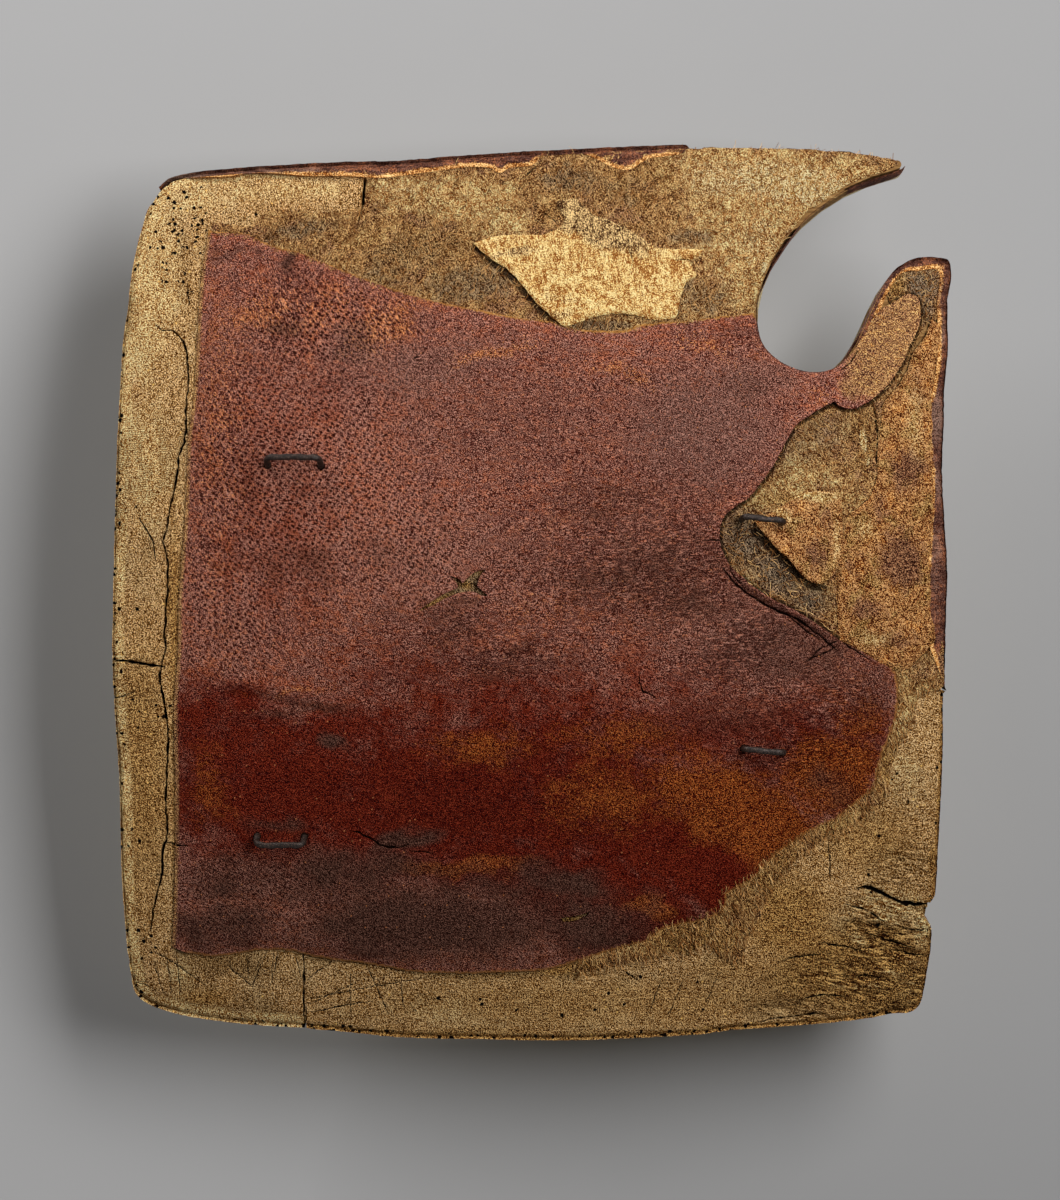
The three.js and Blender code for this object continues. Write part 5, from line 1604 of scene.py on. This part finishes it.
def weave():
    material, shader = start("linen")
    threads = []
    for sizes, way in (((0.9, 1, 1), "X"), ((1, 1, 0.9), "Z")):
        sockets = {"Vector": stretched(sizes), "Scale": 0.32, "Distortion": 0.6}
        threads.append(put("ShaderNodeTexWave", sockets, bands_direction=way).outputs["Fac"])
    cloud = grain((18, 18, 18), detail=4)
    cloth = most(*threads)
    colour = tones(cloth, (0.2, (104, 88, 62)), (0.6, (158, 142, 108)), (0.95, (192, 176, 138)))
    colour = blend(span(cloud, 0.4, 0.6), colour, tone(128, 104, 70))
    finish(shader, colour, 0.9, raised(cloth, 0.3))
    return material


def gesso():
    material, shader = start("gesso")
    cloud = grain((60, 60, 60), detail=4, roughness=0.6)
    dust = grain((2.2, 2.2, 2.2), detail=4, roughness=0.7)
    cracks = cells((11, 11, 11), feature="DISTANCE_TO_EDGE")
    fine = cells((4.2, 4.2, 4.2), feature="DISTANCE_TO_EDGE")
    line = most(span(cracks, 0.035, 0.012), times(span(fine, 0.05, 0.015), 0.5))
    colour = tones(cloud, (0.32, (176, 160, 128)), (0.5, (204, 190, 160)), (0.68, (222, 210, 184)))
    colour = blend(span(dust, 0.52, 0.7, (0, 0.35)), colour, tone(150, 128, 94))
    colour = blend(times(line, 0.8), colour, tone(92, 74, 52))
    colour = blend(mark("lost"), colour, tone(142, 122, 88))
    colour = blend(mark("bared"), colour, tone(104, 72, 46))
    height = sums("SUBTRACT", times(dust, 0.5), line)
    finish(shader, colour, 0.86, raised(height, 0.4))
    return material


ground = {
    "seed": 81,
    "lossDepth": 0.6 * mm,
    "baredDepth": 0.5 * mm,
    "wave": 0.1 * mm,
    "sheet": {"pitch": 3.2 * mm, "wallTo": 15.2 * mm, "reach": 50 * mm, "front": True},
}


def gessoForm(flat, gap):
    seed = ground["seed"]
    lost = smoothStep(ripple(flat, 46 * mm, seed, octaves=5) + 0.5 * fading(gap, 0, 40 * mm), 0.3, 0.34)
    bared = smoothStep(ripple(flat, 30 * mm, seed + 4, octaves=5) + 0.6 * fading(gap, 0, 16 * mm), 0.42, 0.46)
    depth = shield["gessoFront"] - ground["lossDepth"] * lost - ground["baredDepth"] * bared * lost
    depth = depth + ground["wave"] * ripple(flat, 20 * mm, seed + 5)
    depth = depth - arris(np.minimum(gap, 2 * mm), 2 * mm) * 0.5
    return depth, {"lost": lost, "bared": bared * lost}


gessoPiece = sheet("gesso_ground", [edgeLoop], gessoForm, seed=ground["seed"], **ground["sheet"])
dress(gessoPiece, gesso(), "gesso", "front_gesso")


def clothe(node, material):
    node.data.materials.clear()
    node.data.materials.append(material)


clothe(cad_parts["front_linen"], weave())


def boardWood():
    material, shader = start("board wood")
    lines = grain((30, 4, 1.1), detail=4, roughness=0.6)
    speckle = grain((0.8, 0.8, 0.8), detail=3, roughness=0.7)
    colour = tones(lines, (0.3, (92, 66, 38)), (0.5, (140, 104, 62)), (0.7, (176, 138, 88)))
    colour = blend(span(speckle, 0.5, 0.3, (0, 0.5)), colour, tone(78, 54, 30))
    finish(shader, colour, 0.8, raised(lines, 0.4))
    return material


boards = boardWood()
for name in ("core_board_upper", "core_board_middle"):
    clothe(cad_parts[name], boards)


# Loose hairs and strands

def strands(name, loop, seed, count, length, radius, turns, lift, depth):
    # hairs within a loop, clear of the turned hide and of the shield's edge
    dice = np.random.default_rng(seed)
    flat = dice.uniform(loop.min(0), loop.max(0), (count * 6, 2))
    clear = ~within(flat, turnedLoops) & (gapTo(flat, edgeLine, 6 * mm) > 3 * mm)
    flat = flat[inside(flat, loop) & clear][:count]
    count = len(flat)
    turn = np.radians(dice.choice(turns, count) + dice.normal(0, 14, count))
    long = dice.uniform(*length, count) * mm
    bend = dice.normal(0, 0.9, count)
    rise = dice.uniform(*lift, count) * mm
    thick = dice.uniform(*radius, count) * mm
    steps, sides = 6, 3
    share = np.linspace(0, 1, steps)
    place, rows = flat.copy(), []
    for i in range(steps):
        angle = turn + bend * (share[i] - 0.5)
        way = np.column_stack((np.cos(angle), np.sin(angle)))
        if i:
            place = place + way * (long / (steps - 1))[:, None]
        arch = np.sin(math.pi * share[i]) * rise
        for k in range(sides):
            around = 2 * math.pi * k / sides
            side = np.column_stack((-way[:, 1], way[:, 0])) * (thick * math.cos(around))[:, None]
            rows.append(laid(place + side, depth * mm - arch + thick * math.sin(around)))
    places = np.stack(rows, axis=1).reshape(-1, 3)
    ring = [(k, (k + 1) % sides, (k + 1) % sides + sides, k + sides) for k in range(sides)]
    one = [[i * sides + k for k in face] for i in range(steps - 1) for face in ring]
    faces = (np.arange(count)[:, None, None] * steps * sides + np.array(one)[None]).reshape(-1, 4)
    tint = np.repeat(dice.uniform(0, 1, count), steps * sides)
    return meshObject(name, places, faces.tolist(), {"tint": tint}, sharpAngle=180)


def strandMaterial():
    material, shader = start("loose strands")
    colour = tones(mark("tint"), (0.0, (76, 40, 16)), (0.4, (146, 94, 48)),
                   (0.6, (204, 146, 84)), (1.0, (248, 206, 142)))
    worn = grain((3, 3, 3), detail=2)
    colour = blend(span(worn, 0.45, 0.6, (0, 0.4)), colour, tone(84, 56, 28))
    finish(shader, colour, 0.85, raised(worn, 0.1))
    return material


strandTone = strandMaterial()
hairs = {
    # how many, then length, radius, turns in degrees, lift off the surface and depth, in millimetres
    "top": (5200, (2, 7), (0.09, 0.2), (65, 60, 110, 20, 150), (0, 0.3), 1.9),
    "side": (1300, (2, 7), (0.09, 0.2), (-30, -45, 20, 80), (0.1, 0.5), 2.0),
    "tip": (220, (1.5, 4), (0.08, 0.18), (-60, 20, 80), (0.1, 0.5), 1.6),
    "edge": (2000, (2, 7), (0.09, 0.22), (-90, -72, -106, -60), (0, 0.4), 1.9),
}
for index, (key, values) in enumerate(hairs.items()):
    dress(strands("loose_strands_" + key, fibreLoops[index], 91 + index, *values), strandTone, "fibre")


# Camera, lamps and backdrop

camera = {"place": (-1.8 * mm, -4.0, -4.5 * mm), "lens": 201.3, "sensor": 36, "reach": 20}
eye = bpy.data.objects.new("camera", bpy.data.cameras.new("camera"))
bpy.context.scene.collection.objects.link(eye)
eye.location = camera["place"]
eye.rotation_euler = (math.pi / 2, 0, 0)
eye.data.lens, eye.data.sensor_width = camera["lens"], camera["sensor"]
eye.data.clip_end = camera["reach"]
bpy.context.scene.camera = eye
bpy.context.scene.view_settings.view_transform = "Standard"


def lamp(name, place, aim, size, power, colour):
    light = bpy.data.lights.new(name, "AREA")
    light.shape, light.size, light.size_y = "RECTANGLE", *size
    light.energy, light.color = power, colour
    thing = bpy.data.objects.new(name, light)
    thing.location = place
    thing.rotation_euler = (Vector(aim) - Vector(place)).to_track_quat("-Z", "Y").to_euler()
    bpy.context.scene.collection.objects.link(thing)
    return thing


lamps = {
    # place, aim, size, power and colour
    "key": ((1.17, -1.64, 0.85), (0, 0, 0), (1.15, 2.0), 59, (1.0, 0.99, 0.975)),
    "top": ((-1.8, -0.7, 2.44), (0, 0, 0), (0.63, 1.22), 72, (1.0, 0.99, 0.975)),
    "front left": ((-1.3, 2.3, 1.0), (0, 0.05, 0), (1.2, 1.2), 26, (1.0, 0.99, 0.97)),
    "front right": ((1.5, 2.2, 0.4), (0, 0.05, 0), (1.2, 1.2), 15, (0.97, 0.98, 1.0)),
}
lit = {name: lamp(name, *values) for name, values in lamps.items()}


def seenPlainly():
    # 1 for the rays that only look at the surroundings, and 0 for those that light the shield
    path = put("ShaderNodeLightPath").outputs
    return most(most(path["Is Camera Ray"], path["Is Glossy Ray"]), path["Is Transmission Ray"])


sky = bpy.data.worlds.new("studio")
bpy.context.scene.world = sky
sky.use_nodes = True
sky.node_tree.nodes.clear()
work["tree"] = sky.node_tree
fill = put("ShaderNodeBackground", {"Color": (0.95, 0.97, 1.0, 1.0), "Strength": 0.035})
pale = put("ShaderNodeBackground", {"Color": (0.4, 0.4, 0.4, 1.0), "Strength": 1.0})
both = put("ShaderNodeMixShader", {0: seenPlainly(), 1: fill.outputs[0], 2: pale.outputs[0]})
put("ShaderNodeOutputWorld", {"Surface": both.outputs[0]})


def backdropPaper():
    material, shader = start("backdrop paper")
    mottle = grain((40, 40, 40), detail=3)
    where = put("ShaderNodeSeparateXYZ", {
        "Vector": put("ShaderNodeTexCoord").outputs["Object"],
    })
    # painted light falloff: the paper lighter on the left and darker to the right
    painted_falloff = added(mottle, 0.04, where.outputs["X"])
    colour = tones(span(painted_falloff, -0.7, 0.7), (0.0, (183, 183, 184)), (1.0, (152, 152, 153)))
    # dull to other rays, so that it throws little light back on the shield
    colour = blend(seenPlainly(), tone(70, 70, 71), colour)
    finish(shader, colour, 0.95, raised(mottle, 0.01), 0.0)
    away = put("ShaderNodeNewGeometry")
    clear = put("ShaderNodeBsdfTransparent")
    share = most(away.outputs["Backfacing"], put("ShaderNodeLightPath").outputs["Is Shadow Ray"])
    mixed = put("ShaderNodeMixShader", {0: share, 1: shader.outputs[0], 2: clear.outputs[0]})
    give(material.node_tree.nodes["Material Output"].inputs["Surface"], mixed.outputs[0])
    return material


sweep = {"wall": 0.13, "floor": -0.8, "bend": 0.25, "wide": 4.0, "high": 2.4, "near": -3.0}
profile = [(sweep["wall"], sweep["high"])]
for angle in np.linspace(0, math.pi / 2, 13):
    profile.append((sweep["wall"] - sweep["bend"] * (1 - math.cos(angle)),
                    sweep["floor"] + sweep["bend"] * (1 - math.sin(angle))))
profile.append((sweep["near"], sweep["floor"]))
corners = [(x, y, z) for y, z in profile for x in (-sweep["wide"], sweep["wide"])]
panels = [(2 * i, 2 * i + 2, 2 * i + 3, 2 * i + 1) for i in range(len(profile) - 1)]
backdrop = meshObject("backdrop", corners, panels, sharpAngle=180)
backdrop.data.materials.append(backdropPaper())

# the front's lamps light the shield alone
frontOnly = bpy.data.collections.new("all but the backdrop")
frontOnly.objects.link(backdrop)
frontOnly.collection_objects[0].light_linking.link_state = "EXCLUDE"
for name in ("front left", "front right"):
    lit[name].light_linking.receiver_collection = frontOnly
